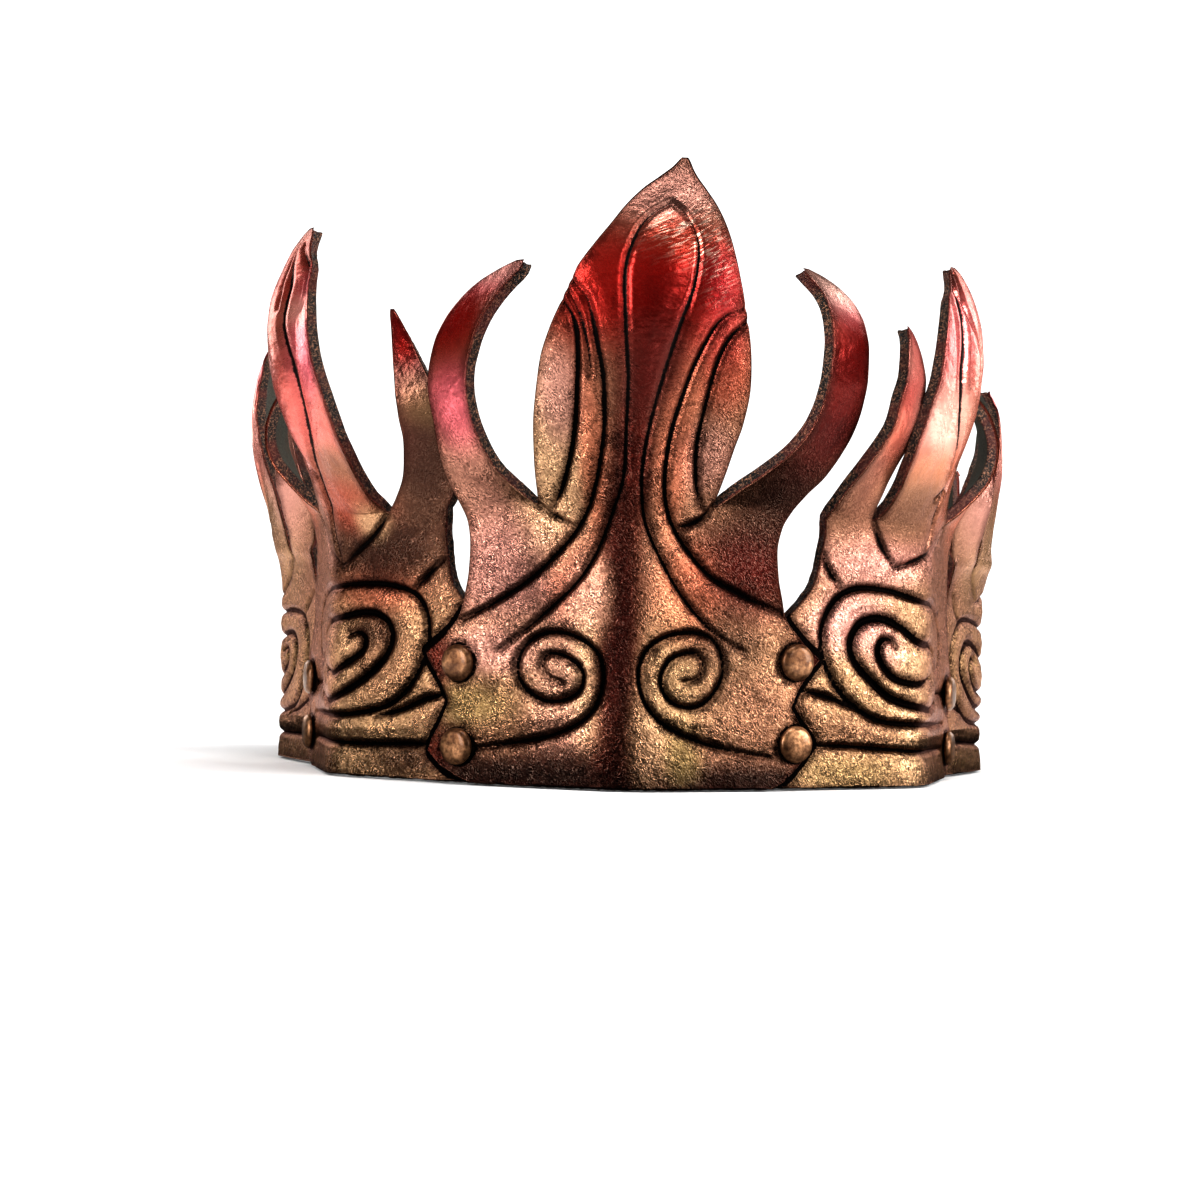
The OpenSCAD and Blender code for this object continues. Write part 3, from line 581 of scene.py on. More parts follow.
# %% [markdown]
# The paint is metallic acrylic rubbed on with a cloth, so its colours lie in soft patches: gold
# and bronze at the rim, copper and rose on the shoulders, crimson on the tips. All colours of the
# script are named here as they look on a screen.

# %% Colours
COLOURS = {
    "gold": (200, 162, 126), "old_gold": (154, 124, 92), "olive": (112, 94, 60),
    "bronze": (136, 99, 77), "umber": (50, 30, 24), "copper": (190, 112, 84), "rose": (188, 136, 126),
    "pink": (214, 104, 116), "magenta": (176, 34, 62), "crimson": (130, 20, 15),
    "oxblood": (72, 11, 9), "rust": (138, 44, 28), "salmon": (212, 112, 104),
    # The pale colour only ever paints highlights.
    "pale": (250, 226, 204), "scarlet": (166, 46, 38), "soot": (24, 15, 12),
    "crease": (14, 6, 5), "grime": (28, 11, 8), "shaded": (36, 12, 8),
    # The paste colour also paints the shadow beside the pointed ends.
    # The paste stain colour also paints shade in the pressed hollows beside the cuts.
    "rubbed_edge": (120, 82, 68), "paste_stain_and_shade": (26, 9, 7), "paste_and_shadow": (3, 2, 2),
    "raw_dark": (8, 5, 5), "raw_light": (146, 106, 82), "raw_dye": (96, 30, 22),
    "raw_paint": (124, 50, 40), "flesh_dark": (24, 25, 23), "flesh_light": (100, 97, 88),
    "flesh_tan": (84, 60, 46), "cap_dark": (98, 68, 46), "cap_light": (172, 130, 96),
    "cap_pit": (52, 30, 20),
}


def linear(rgb):
    """A screen colour from 0 to 255 as the linear light that a shader works with."""
    c = np.array(rgb, float) / 255
    return np.where(c < 0.04045, c / 12.92, ((c + 0.055) / 1.055) ** 2.4)


print("named colours:", len(COLOURS))

# %% [markdown]
# A patch of paint is an ellipse with a soft edge, and later patches lie over earlier ones. The
# tables follow the photograph from the rim up to the tips. Some patches are painted light: the pale
# ones are painted highlights, a few gold ones beside folds too, and the dark band on the front ridge
# is partly painted shade.

# %% Patches of paint
# Station, height, half width, half height, colour, strength. Every pale patch is a painted highlight.
FRONT_RUBS = [
    (0, 26, 60, 14, "old_gold", 0.5), (-34, 32, 12, 6, "rose", 0.6), (-16, 20, 9, 24, "rose", 0.3),
    # The gold patch at station -9 on the next row is a painted highlight beside the ridge.
    (12, 24, 6, 24, "old_gold", 0.8), (-9, 30, 4, 22, "gold", 0.6), (34, 20, 12, 9, "bronze", 0.9),
    (24, 34, 12, 5, "umber", 0.5),
    (-30, 52, 20, 13, "rose", 0.7), (-26, 50, 18, 14, "umber", 0.6), (32, 54, 20, 14, "umber", 1),
    (30, 50, 20, 12, "oxblood", 0.5), (14, 46, 8, 12, "copper", 0.4), (-12, 50, 8, 10, "copper", 0.4),
    (-26, 2, 36, 7, "umber", 1), (-14, 6, 14, 5, "umber", 0.7), (-40, 19, 12, 6, "olive", 0.8),
    (32, 1, 26, 7, "umber", 1), (14, 8, 5, 8, "olive", 0.8),
    (-50, 30, 6, 8, "oxblood", 0.9), (48, 31, 6, 8, "oxblood", 0.9),
    (-50, 8, 5, 6, "oxblood", 0.8), (47, 10, 5, 6, "oxblood", 0.9),
    (-36, 74, 12, 12, "rose", 0.3), (-38, 90, 10, 10, "pink", 0.8), (-40, 110, 14, 13, "crimson", 1),
    # The pale patches at the tips of both horns are painted highlights.
    (-30, 120, 10, 6, "pink", 0.6), (-30, 121, 10, 5, "pale", 0.3),
    (38, 72, 14, 14, "umber", 1), (43, 86, 12, 11, "oxblood", 1), (46, 101, 14, 12, "crimson", 1),
    (46, 96, 14, 10, "oxblood", 0.7), (46, 117, 10, 8, "pink", 0.7), (46, 118, 10, 6, "pale", 0.55),
    (-18, 80, 10, 24, "gold", 0.8), (-14, 92, 6, 12, "rose", 0.7), (-8, 82, 3, 22, "copper", 0.6),
    (1, 82, 5, 24, "oxblood", 0.9), (18, 86, 8, 18, "bronze", 0.6), (18, 97, 8, 10, "rust", 0.6),
    (16, 78, 8, 8, "rose", 0.4), (9, 82, 4, 22, "copper", 0.6),
    (2, 116, 26, 16, "crimson", 1), (4, 100, 6, 14, "oxblood", 0.9), (17, 106, 7, 8, "magenta", 0.15),
    (18, 120, 6, 10, "magenta", 0.25), (7, 139, 16, 8, "rose", 0.6), (8, 140, 14, 9, "umber", 0.65),
    # Painted shade on the next row: the oxblood and umber band on the ridge is partly the paint's own red
    # and partly shade where the fold faces the camera. The gold and rose patches on the row after it are
    # painted highlights beside the ridge.
    (8, 128, 5, 5, "rust", 0.6), (-2.5, 38, 6, 46, "oxblood", 1), (-2.5, 36, 4.5, 46, "umber", 0.6),
    (-9, 45, 5, 10, "gold", 0.35), (-10, 46, 5, 9, "rose", 0.4), (5, 12, 4, 14, "gold", 0.4),
    (-7, 118, 8, 12, "scarlet", 0.35), (-26, 1, 34, 5, "soot", 0.75), (32, 1, 26, 5, "soot", 0.55),
    (18, 82, 8, 16, "umber", 0.35), (22, 30, 12, 10, "umber", 0.25), (-24, 30, 12, 10, "umber", 0.15),
]
SIDE_RUBS_LEFT = [
    (0, 6, 60, 12, "old_gold", 0.8), (-10, 30, 30, 18, "old_gold", 0.8), (-16, 30, 12, 12, "bronze", 0.6),
    (-26, 5, 14, 5, "umber", 0.8), (0, 18, 8, 20, "gold", 0.5), (-14, 46, 14, 7, "rust", 0.5),
    (-16, 56, 22, 10, "umber", 0.9), (-14, 36, 8, 5, "umber", 0.7), (20, 30, 24, 30, "bronze", 0.6),
    (-32, 78, 14, 20, "umber", 0.9), (-34, 91, 10, 6, "olive", 0.3), (-34, 100, 12, 8, "umber", 0.9),
    (-27, 107, 12, 10, "crimson", 1), (-30, 96, 12, 5, "umber", 0.7),
    (-31, 93, 8, 4, "bronze", 0.2),
    (0, 88, 22, 14, "salmon", 0.9), (-11, 104, 9, 12, "pink", 1), (-9, 77, 9, 5, "olive", 0.5),
    (-8, 76, 8, 4, "umber", 0.3),
    # The gold patch at station -14 is a painted highlight on the bulge at the leaf's base.
    (-8, 67, 12, 7, "rust", 0.6), (-14, 63, 5, 5, "gold", 0.7), (5, 100, 8, 24, "rust", 0.6),
    (-4, 122, 14, 12, "scarlet", 0.7), (-10, 118, 6, 8, "pink", 0.6),
    # The pale patch at station -8 is a painted highlight.
    (-8, 112, 6, 4, "pale", 0.25), (32, 80, 12, 20, "copper", 0.6), (30, 96, 12, 12, "rust", 0.8),
]
SIDE_RUBS_RIGHT = [
    (0, 4, 60, 10, "old_gold", 0.9), (-24, 4, 14, 6, "olive", 0.6), (-12, 30, 30, 20, "old_gold", 0.7),
    (-24, 40, 12, 8, "rose", 0.8), (-12, 34, 7, 6, "rose", 0.6), (0, 20, 9, 26, "gold", 0.8),
    (-20, 12, 14, 5, "bronze", 0.6), (-16, 56, 20, 9, "rose", 0.7), (-16, 54, 20, 12, "umber", 0.2),
    (20, 30, 24, 30, "bronze", 0.6),
    (-28, 72, 12, 14, "bronze", 1), (-27, 70, 12, 14, "umber", 0.35), (-22, 88, 10, 7, "copper", 0.8),
    # The pale patches at stations -20 and -6 are painted highlights.
    (-20, 96, 12, 6, "magenta", 0.4), (-20, 106, 12, 9, "salmon", 1), (-20, 103, 9, 6, "pale", 0.5),
    (-6, 98, 22, 30, "salmon", 0.9), (-6, 89, 12, 9, "pale", 0.55), (-8, 75, 14, 8, "old_gold", 0.8),
    (-8, 78, 12, 5, "copper", 0.4),
    (-8, 66, 14, 8, "bronze", 1), (-8, 69, 12, 7, "umber", 0.4), (-4, 112, 14, 12, "pink", 0.4),
    (0, 124, 14, 6, "rust", 0.4), (7, 90, 8, 26, "copper", 0.7),
    (32, 80, 12, 20, "copper", 0.6), (30, 96, 12, 12, "rust", 0.8),
]
REAR_RUBS = [
    (0, 4, 60, 9, "olive", 0.8), (0, 28, 50, 18, "old_gold", 0.9), (-14, 52, 14, 10, "old_gold", 0.8),
    (10, 58, 40, 12, "old_gold", 0.7), (-26, 76, 14, 16, "rose", 0.7), (0, 68, 18, 10, "old_gold", 0.6),
    # The pale patch at height 88 is a painted highlight that lifts the weakly lit leaf.
    (0, 93, 18, 19, "salmon", 1), (0, 88, 14, 10, "pale", 0.3), (0, 106, 14, 9, "pink", 0.6),
    (28, 76, 14, 14, "salmon", 0.8),
]
# How steeply a patch ends: 1 is soft, more is flatter inside and steeper at its edge.
PATCH_EDGE = 1.7


def rub(table, u, v):
    """The paint's colour at every spot."""
    colour = np.tile(linear(COLOURS["bronze"]), (len(u), 1))
    for cu, cv, ru, rv, name, strength in table:
        away = ((u - cu) / ru) ** 2 + ((v - cv) / rv) ** 2
        share = strength * np.exp(-(away**PATCH_EDGE))
        colour += (linear(COLOURS[name]) - colour) * share[:, None]
    return colour


front.rubs = FRONT_RUBS
left_side.rubs = SIDE_RUBS_LEFT
right_side.rubs = SIDE_RUBS_RIGHT
left_rear.rubs = right_rear.rubs = REAR_RUBS
print("paint patches:", {p.name: len(p.rubs) for p in PANELS})

# %% [markdown]
# Wet leather keeps what the hand does to it. Bending draws it into fine wrinkles, rubbing with a
# bone makes it sleek and closes its pores, and a thumb from behind pushes it out. Each of these is
# a table of soft mounds, whose values steer the shape or the finish later.

# %% Worked places
def mounds(table, u, v):
    """Sum of soft round mounds: station, height, half width, half height, strength."""
    total = 0 * u
    for cu, cv, ru, rv, k in table:
        total = total + k * np.exp(-(((u - cu) / ru) ** 2) - ((v - cv) / rv) ** 2)
    return total


# Wrinkled by bending; the finish also gives these places painted highlights along the wrinkles.
front.pulls = [(8, 129, 6, 5, 1), (15, 124, 4, 9, 0.8)]
left_side.pulls = [(0, 122, 8, 8, 0.2)]
right_side.pulls = [(0, 112, 8, 10, 0.4)]
# Rubbed sleek: most of the front flames, and every other flame's leaf and near horn.
front.sleek = [(4, 122, 30, 22, 1), (-40, 103, 14, 24, 1), (44, 103, 14, 24, 1), (4, 95, 8, 14, 0.7)]
for p in PANELS[1:]:
    leaf_top, horn_top = p.tip[LEAF] - 20, p.tip[NEAR] - 8
    p.sleek = [(-16, 78, 40, 20, 0.7), (0, leaf_top, 40, 30, 1), (-28, horn_top, 12, 14, 0.8)]
# Pushed out from behind.
left_side.swells = [(-11, 67, 7, 7, 1.4), (-9, 29, 9, 7, 0.5)]
right_side.swells = [(-10, 66, 7, 8, 1.2), (-13, 31, 9, 7, 0.5)]
front.swells = [(-15, 28, 6, 5, 0.4), (14, 28, 6, 5, 0.4)]
print("places pushed out:", sum(len(p.swells) for p in PANELS))

# %% [markdown]
# A panel's mesh has three skins. The grain side is a fine grid, small enough for the carving. The
# raw edge is a narrow strip with rounded corners and torn fibres. The flesh side is smooth and
# unseen from most places, so every fourth line of the grid is enough there, and fans of triangles
# join it to the fine strip.

# %% Grids
# Size of a grid cell in millimetres, and how many cells one cell of the flesh side takes.
GRID = 0.43
COARSE = 4
# At the rim the leaf's columns reach this far from the ridge.
LEAF_FOOT = 14
# The horns get columns for this share of their width at the slots: they are mostly narrower.
HORN_SHARE = 0.9
# The zigzag ends slope, so a point is nearer to them than it is along the ring.
ZIGZAG_SLOPE = 0.75
# The leaf's middle column follows the ridge up to this share of its height, and then leaves it
# for the middle of the leaf.
RIDGE_KEPT = 0.3
# The narrow top of a flame counts as this far from the edge, so that its paint isn't worn off.
TIP_EDGE = 0.5


def fours(length):
    """A number of steps that splits into groups of four."""
    return COARSE * max(1, round(length / GRID / COARSE))


def between(a, b, count):
    """Columns from edge a to edge b, a row for each row of the edges."""
    t = np.linspace(0, 1, count + 1)
    return a[:, None] + (b - a)[:, None] * t


def grids(panel):
    """Station, height and distance from the edge at every grid point, for each part of the panel."""
    near, leaf = panel.table[NEAR], panel.table[LEAF]
    horn = fours(HORN_SHARE * (near[2][0] - near[1][0]))
    half = fours((leaf[2][0] - leaf[1][0]) / 2)
    v = np.linspace(0, panel.notch, fours(panel.notch) + 1)
    lo, hi = panel.low_edges(v)
    share = smooth(v / panel.notch)
    a = -LEAF_FOOT + (leaf[1][0] + LEAF_FOOT) * share
    b = LEAF_FOOT + (leaf[2][0] - LEAF_FOOT) * share
    columns = [between(lo, a, horn), between(a, 0 * v, half)[:, 1:]]
    columns += [between(0 * v, b, half)[:, 1:], between(b, hi, horn)[:, 1:]]
    u = np.hstack(columns)
    high = np.repeat(v[:, None], u.shape[1], 1)
    ends = ZIGZAG_SLOPE * np.minimum(u - lo[:, None], hi[:, None] - u)
    made = {LOW: (u, high, np.minimum(ends, high))}
    for region in (NEAR, LEAF, FAR):
        t = np.linspace(0, 1, fours(panel.tip[region] - panel.notch) + 1)
        e0, e1 = panel.flame_edges(region, t)
        if region == NEAR:
            u = between(-e1, -e0, horn)
        elif region == FAR:
            u = between(e0, e1, horn)
        else:
            mid = (e0 + e1) / 2 * smooth((t - RIDGE_KEPT) / (1 - RIDGE_KEPT))
            u = np.hstack([between(e0, mid, half), between(mid, e1, half)[:, 1:]])
        high = np.repeat(panel.height(region, t)[:, None], u.shape[1], 1)
        sides = np.minimum(u - u[:, :1], u[:, -1:] - u)
        made[region] = (u, high, np.minimum(sides, panel.tip[region] - high + TIP_EDGE))
    return made, horn, half


print("rows of cells from the rim to the front slots:", fours(NOTCH_FRONT))


# %% [markdown]
# The low part and each flame are grids of their own. A flame takes its first row from the low
# part's top row, so no seam shows. The rim is one loop of points round them all.

# %% Points and faces of the grids
def numbered(shapes, horn, half):
    """Point numbers of each grid; a flame's first row is the top row of the low part."""
    rows, cols = shapes[LOW]
    number = {LOW: np.arange(rows * cols).reshape(rows, cols)}
    first = rows * cols
    starts = {NEAR: 0, LEAF: horn, FAR: horn + 2 * half}
    for region, start in starts.items():
        if region in shapes:
            rows, cols = shapes[region]
            more = first + np.arange((rows - 1) * cols).reshape(rows - 1, cols)
            number[region] = np.vstack([number[LOW][-1, start:start + cols], more])
            first += more.size
    return number, first


def rim(number):
    """The edge's points as one loop: up the near end, over the flames, down the far end and back."""
    low = number[LOW]
    parts = [low[:-1, 0]]
    flames = [number[r] for r in (NEAR, LEAF, FAR) if r in number]
    for f in flames:
        parts += [f[:-1, 0], f[-1, :-1], f[:0:-1, -1]]
    if not flames:
        parts += [low[-1, :-1]]
    return np.concatenate(parts + [low[:0:-1, -1], low[0, :0:-1]])


def cells(number):
    """Corners of every grid cell, anticlockwise seen from outside."""
    parts = []
    for n in number.values():
        quads = np.stack([n[:-1, :-1], n[:-1, 1:], n[1:, 1:], n[1:, :-1]], -1)
        parts.append(quads.reshape(-1, 4))
    return np.vstack(parts)


print("front panel grid:", {r: g[0].shape for r, g in grids(front)[0].items()})

# %% [markdown]
# Leather is never quite flat. Soft hills from a seeded table of random heights lift and sink the
# surface by a few tenths of a millimetre, and finer ones tear the raw edge.

# %% Random hills
TABLE = 97
# Where in the table the crown's ridge and rim lie.
CORNER = (500.3, 500.7)
RANDOM_HEIGHTS = np.random.default_rng(11).random((TABLE, TABLE)) * 2 - 1


def hills(x, y, size):
    """Soft hills between -1 and 1, each about that size across."""
    x, y = np.asarray(x, float) / size + CORNER[0], np.asarray(y, float) / size + CORNER[1]
    i, j = np.floor(x).astype(int), np.floor(y).astype(int)
    fx, fy = smooth(x - i), smooth(y - j)
    corner = [[RANDOM_HEIGHTS[(i + a) % TABLE, (j + b) % TABLE] for b in (0, 1)] for a in (0, 1)]
    low = corner[0][0] * (1 - fy) + corner[0][1] * fy
    high = corner[1][0] * (1 - fy) + corner[1][1] * fy
    return low * (1 - fx) + high * fx


print("random heights:", RANDOM_HEIGHTS.shape)

# %% [markdown]
# The grain side is the middle of the leather, lifted by half its thickness, the hills and the
# carving. A set rivet presses a shallow ring into the leather, and a thin dark ring is drawn round
# its cap, so the rivets' places are needed here too.

# %% Uneven leather
# Heights of the upper and the lower rivet of each joint.
HEIGHTS = {
    "left": {"front": (28.7, 8.9), "side": (23, 9), "rear": (23, 9)},
    "right": {"front": (30.4, 11), "side": (22, 8), "rear": (22, 8)},
}
# Radius of a cap, half width of the dark ring drawn round it, and radius, width and depth of the pressed
# ring.
CAP_R = 4.55
DARK_RING = 0.3
SEAT_R, SEAT_WIDTH, SEAT_DEPTH = 4.6, 1.3, 0.25
# Height and size of the hills, which die out towards the flat rim over CALM.
HILLS = [(0.28, 17), (0.12, 6)]
CALM = 12
# Each piece of leather reads another part of the random table.
SEEDS = {name: k for k, name in enumerate([p.name for p in PANELS] + ["back_band"])}
SEED_STEP = 37

front.rivets = [(front.path.station[1], high) for high in HEIGHTS["left"]["front"]]
front.rivets += [(front.path.station[3], high) for high in HEIGHTS["right"]["front"]]
for p in PANELS[1:]:
    side, joint = p.name.split("_")[:2]
    p.rivets = [(p.path.station[3], high) for high in HEIGHTS[side][joint]]


def lay(panel, made):
    """All grid points in a row: station, height, distance from the edge, middle and normal."""
    parts = []
    for region, grid in made.items():
        first = 0 if region == LOW else 1
        u, v, border = (values[first:].ravel() for values in grid)
        parts.append((u, v, border, panel.middle(region, u, v), panel.normal(region, u, v)))
    return [np.concatenate(column) for column in zip(*parts)]


def relief(panel, u, v):
    """Hills and carving of the grain side, and the distance from the nearest cut or cap."""
    shift = SEED_STEP * SEEDS[panel.name]
    uneven = sum(high * hills(u + shift, v, size) for high, size in HILLS)
    uneven = (uneven + mounds(panel.swells, u, v)) * smooth(v / CALM)
    carved, gap = carve(panel, u, v)
    for cu, cv in panel.rivets:
        r = np.hypot(u - cu, v - cv)
        gap = np.minimum(gap, abs(r - CAP_R) - DARK_RING)
        carved -= SEAT_DEPTH * np.exp(-(((r - SEAT_R) / SEAT_WIDTH) ** 2))
    return uneven, carved, gap


print("rivets on each panel:", {p.name: len(p.rivets) for p in PANELS})

# %% [markdown]
# The raw edge was cut with a knife and its corners were rubbed round. The grain side's corner is
# smooth and painted. Below it the fibres stand out, so each ring of points over the edge is torn
# by fine hills of its own.

# %% Shape of the raw edge
# Rings over the edge: how far each lies in from the cut, and its share of the thickness.
EDGE = [
    (0.65, 0), (0.3, 0.05), (0.08, 0.15), (0, 0.28), (0.1, 0.42), (0.14, 0.58), (0.08, 0.74), (0.05, 0.9),
]
# So many strips from the top on are smooth and carry the grain side's paint.
PAINTED_STRIPS = 2
# How far the flesh side ends in from the cut.
EDGE_IN = 0.35
# Height of the fibres, and from one ring to the next the step in the random table and their size.
FIBRE = 0.13
FIBRES = [(0.7, 0.9), (1.1, 2.6)]


def edge_rings(outer, inner, loop, aside, shift):
    """Rings of points over the raw edge; the first one moves the grain side's own rim."""
    steps = np.linalg.norm(np.diff(outer[loop], axis=0), axis=1)
    walk = np.concatenate([[0], np.cumsum(steps)])
    rings = []
    for k, (inset, share) in enumerate(EDGE):
        torn = 0 * walk
        if k > PAINTED_STRIPS:
            torn = FIBRE * sum(hills(walk, k * step + shift, size) for step, size in FIBRES)
        ring = outer[loop] + (inner[loop] - outer[loop]) * share - aside * (inset - torn)[:, None]
        if k == 0:
            outer[loop] = ring
        else:
            rings.append(ring)
    return rings


def fans(fine, coarse):
    """Triangles that join every four steps of the fine strip to one step of the flesh side."""
    after = np.roll(coarse, -1)
    f = [fine[k::COARSE] for k in range(COARSE)] + [np.roll(fine[::COARSE], -1)]
    corners = [
        (f[1], coarse, f[0]), (f[2], coarse, f[1]), (f[2], after, coarse),
        (f[3], after, f[2]), (f[4], after, f[3]),
    ]
    return np.vstack([np.stack(triangle, -1) for triangle in corners])


print("rings over the raw edge:", len(EDGE))

# %% [markdown]
# Now the three skins go together. Every point also keeps the values that the finish will read:
# its place on the hide, its distance from a cut and from the edge, and how deep in the edge it lies.

# %% The whole skin
def skin(panel, made, horn, half):
    """Points, faces and the values that the finish reads, for one piece of leather."""
    fine = {region: grid[0].shape for region, grid in made.items()}
    number, count = numbered(fine, horn, half)
    u, v, border, middle, normal = lay(panel, made)
    uneven, carved, gap = relief(panel, u, v)
    middle += normal * uneven[:, None]
    outer = middle + normal * (THICK / 2 + carved)[:, None]
    inner = middle - normal * (THICK / 2)

    # The raw edge: strips of faces between the rings, which start with the grain side's rim.
    loop = rim(number)
    along = outer[np.roll(loop, -1)] - outer[np.roll(loop, 1)]
    aside = np.cross(normal[loop], along)
    aside /= np.linalg.norm(aside, axis=1, keepdims=True)
    edge = edge_rings(outer, inner, loop, aside, SEED_STEP * SEEDS[panel.name])
    rings = np.array([loop] + [count + k * len(loop) + np.arange(len(loop)) for k in range(len(edge))])
    a, b = rings[:-1], rings[1:]
    strip = np.stack([np.roll(a, -1, 1), np.roll(b, -1, 1), b, a], -1).reshape(-1, 4)
    painted_faces = PAINTED_STRIPS * len(loop)

    # The flesh side, on every fourth line of the grid.
    first = count + len(edge) * len(loop)
    coarse = {r: [(n - 1) // COARSE + 1 for n in shape] for r, shape in fine.items()}
    back_number, back_count = numbered(coarse, horn // COARSE, half // COARSE)
    pick = [n[::COARSE, ::COARSE][0 if r == LOW else 1:].ravel() for r, n in number.items()]
    pick = np.concatenate(pick)
    flesh = inner[pick]
    flesh[rim(back_number)] -= aside[::COARSE] * EDGE_IN
    join = fans(rings[-1], first + rim(back_number))
    under = cells(back_number)[:, ::-1] + first
    faces = [cells(number), strip[:painted_faces], strip[painted_faces:], join, under]

    # The points of the edge and of the flesh side take the values of the grain side over them.
    again = np.concatenate([loop] * len(edge) + [pick])
    hide = np.stack([np.append(u, u[again]), np.append(v, v[again])], -1)
    depth = [np.full(len(loop), share) for _, share in EDGE[1:]]
    values = {
        "gap": np.append(gap, gap[again]),
        "border": np.append(border, border[again]),
        "depth": np.concatenate([np.zeros(count)] + depth + [np.ones(back_count)]),
    }
    return np.vstack([outer] + edge + [flesh]), faces, hide, values


# %% [markdown]
# The values go into the mesh as named attributes, which need no unwrapping and no image. The
# finishes read them, so the same finish fits every panel. Left pieces are drawn like right ones and
# then mirrored, with their faces turned round so that they still face outward.

# %% Mesh
# Material of each group of faces: grain side, smooth strips, torn strips, fans, flesh side.
PAINTED, RAW, FLESH = 0, 1, 2
GROUPS = (PAINTED, PAINTED, RAW, RAW, FLESH)
# How far apart the pieces lie in the finish's noise.
NOISE_APART = 100.0


def into_scene(data):
    """An object with the name of its mesh or lamp, in the scene."""
    made = bpy.data.objects.new(data.name, data)
    bpy.context.scene.collection.objects.link(made)
    return made


def attribute(mesh, name, kind, key, values):
    """A named value at every point of the mesh."""
    layer = mesh.attributes.new(name, kind, "POINT")
    layer.data.foreach_set(key, np.ascontiguousarray(values, np.float32).ravel())


def leather_piece(panel, built, finishes):
    """A mesh object from a skin, with its attributes, in metres and in the frame's place."""
    points, faces, hide, values = built
    place = points * (panel.side, 1, 1) + (*SHIFT, 0)
    # The lower edge stands on the floor, so its torn fibres are pressed flat.
    place[:, 2] = np.maximum(place[:, 2], 0)
    lists, slots = [], []
    for slot, group in zip(GROUPS, faces):
        lists += (group[:, ::-1] if panel.side < 0 else group).tolist()
        slots += [slot] * len(group)
    mesh = bpy.data.meshes.new(panel.name + "_leather")
    mesh.from_pydata((place * MM).tolist(), [], lists)
    mesh.polygons.foreach_set("material_index", slots)
    mesh.shade_smooth()
    seed = np.full((len(hide), 1), NOISE_APART * SEEDS[panel.name])
    attribute(mesh, "hide", "FLOAT_VECTOR", "vector", np.hstack([hide, seed]))
    values["stretch"] = np.minimum(mounds(panel.pulls, *hide.T), 1)
    values["sleek"] = np.minimum(mounds(panel.sleek, *hide.T), 1)
    for name, value in values.items():
        attribute(mesh, name, "FLOAT", "value", value)
    paint = rub(panel.rubs, *hide.T)
    attribute(mesh, "paint", "FLOAT_COLOR", "color", np.hstack([paint, np.ones((len(paint), 1))]))
    for finish in finishes:
        mesh.materials.append(finish)
    piece = into_scene(mesh)
    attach(piece, "root")
    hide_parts(panel.name)
    triangles = sum(len(p.vertices) - 2 for p in mesh.polygons)
    print(piece.name, "has", triangles, "triangles")


# %% [markdown]
# Shader maths is easier to read as sums than as nodes. A Wire wraps a socket, and adding,
# subtracting, multiplying or dividing wires adds the Math nodes, also with a number on the left.

# %% Wires
class Wire:
    """A value that runs from one node to others."""

    def __init__(self, finish, socket):
        self.finish, self.socket = finish, socket

    def __add__(self, other):
        return self.finish.math("ADD", self, other)

    def __sub__(self, other):
        return self.finish.math("SUBTRACT", self, other)

    def __rsub__(self, other):
        return self.finish.math("SUBTRACT", other, self)

    def __mul__(self, other):
        return self.finish.math("MULTIPLY", self, other)

    def __truediv__(self, other):
        return self.finish.math("DIVIDE", self, other)

    def __rtruediv__(self, other):
        return self.finish.math("DIVIDE", other, self)

    __radd__ = __add__
    __rmul__ = __mul__

    def __abs__(self):
        return self.finish.math("ABSOLUTE", self)

    def step(self, low, high):
        """0 below low, 1 above high and smooth between them; low may be the larger one."""
        if low > high:
            return 1 - self.step(high, low)
        inputs = {"Value": self, "From Min": low, "From Max": high}
        return self.finish.node("MapRange", {"interpolation_type": "SMOOTHSTEP"}, inputs, "Result")


# %% [markdown]
# A Finish is one material. Its node method adds any node: settings first, then the values or wires
# of its sockets. The other methods are short names for the nodes that are used most.

# %% A finish
# The Mix node has sockets for several kinds of data: these are its two colours and its mixed colour.
COLOUR_A, COLOUR_B, COLOUR_OUT = 6, 7, 2


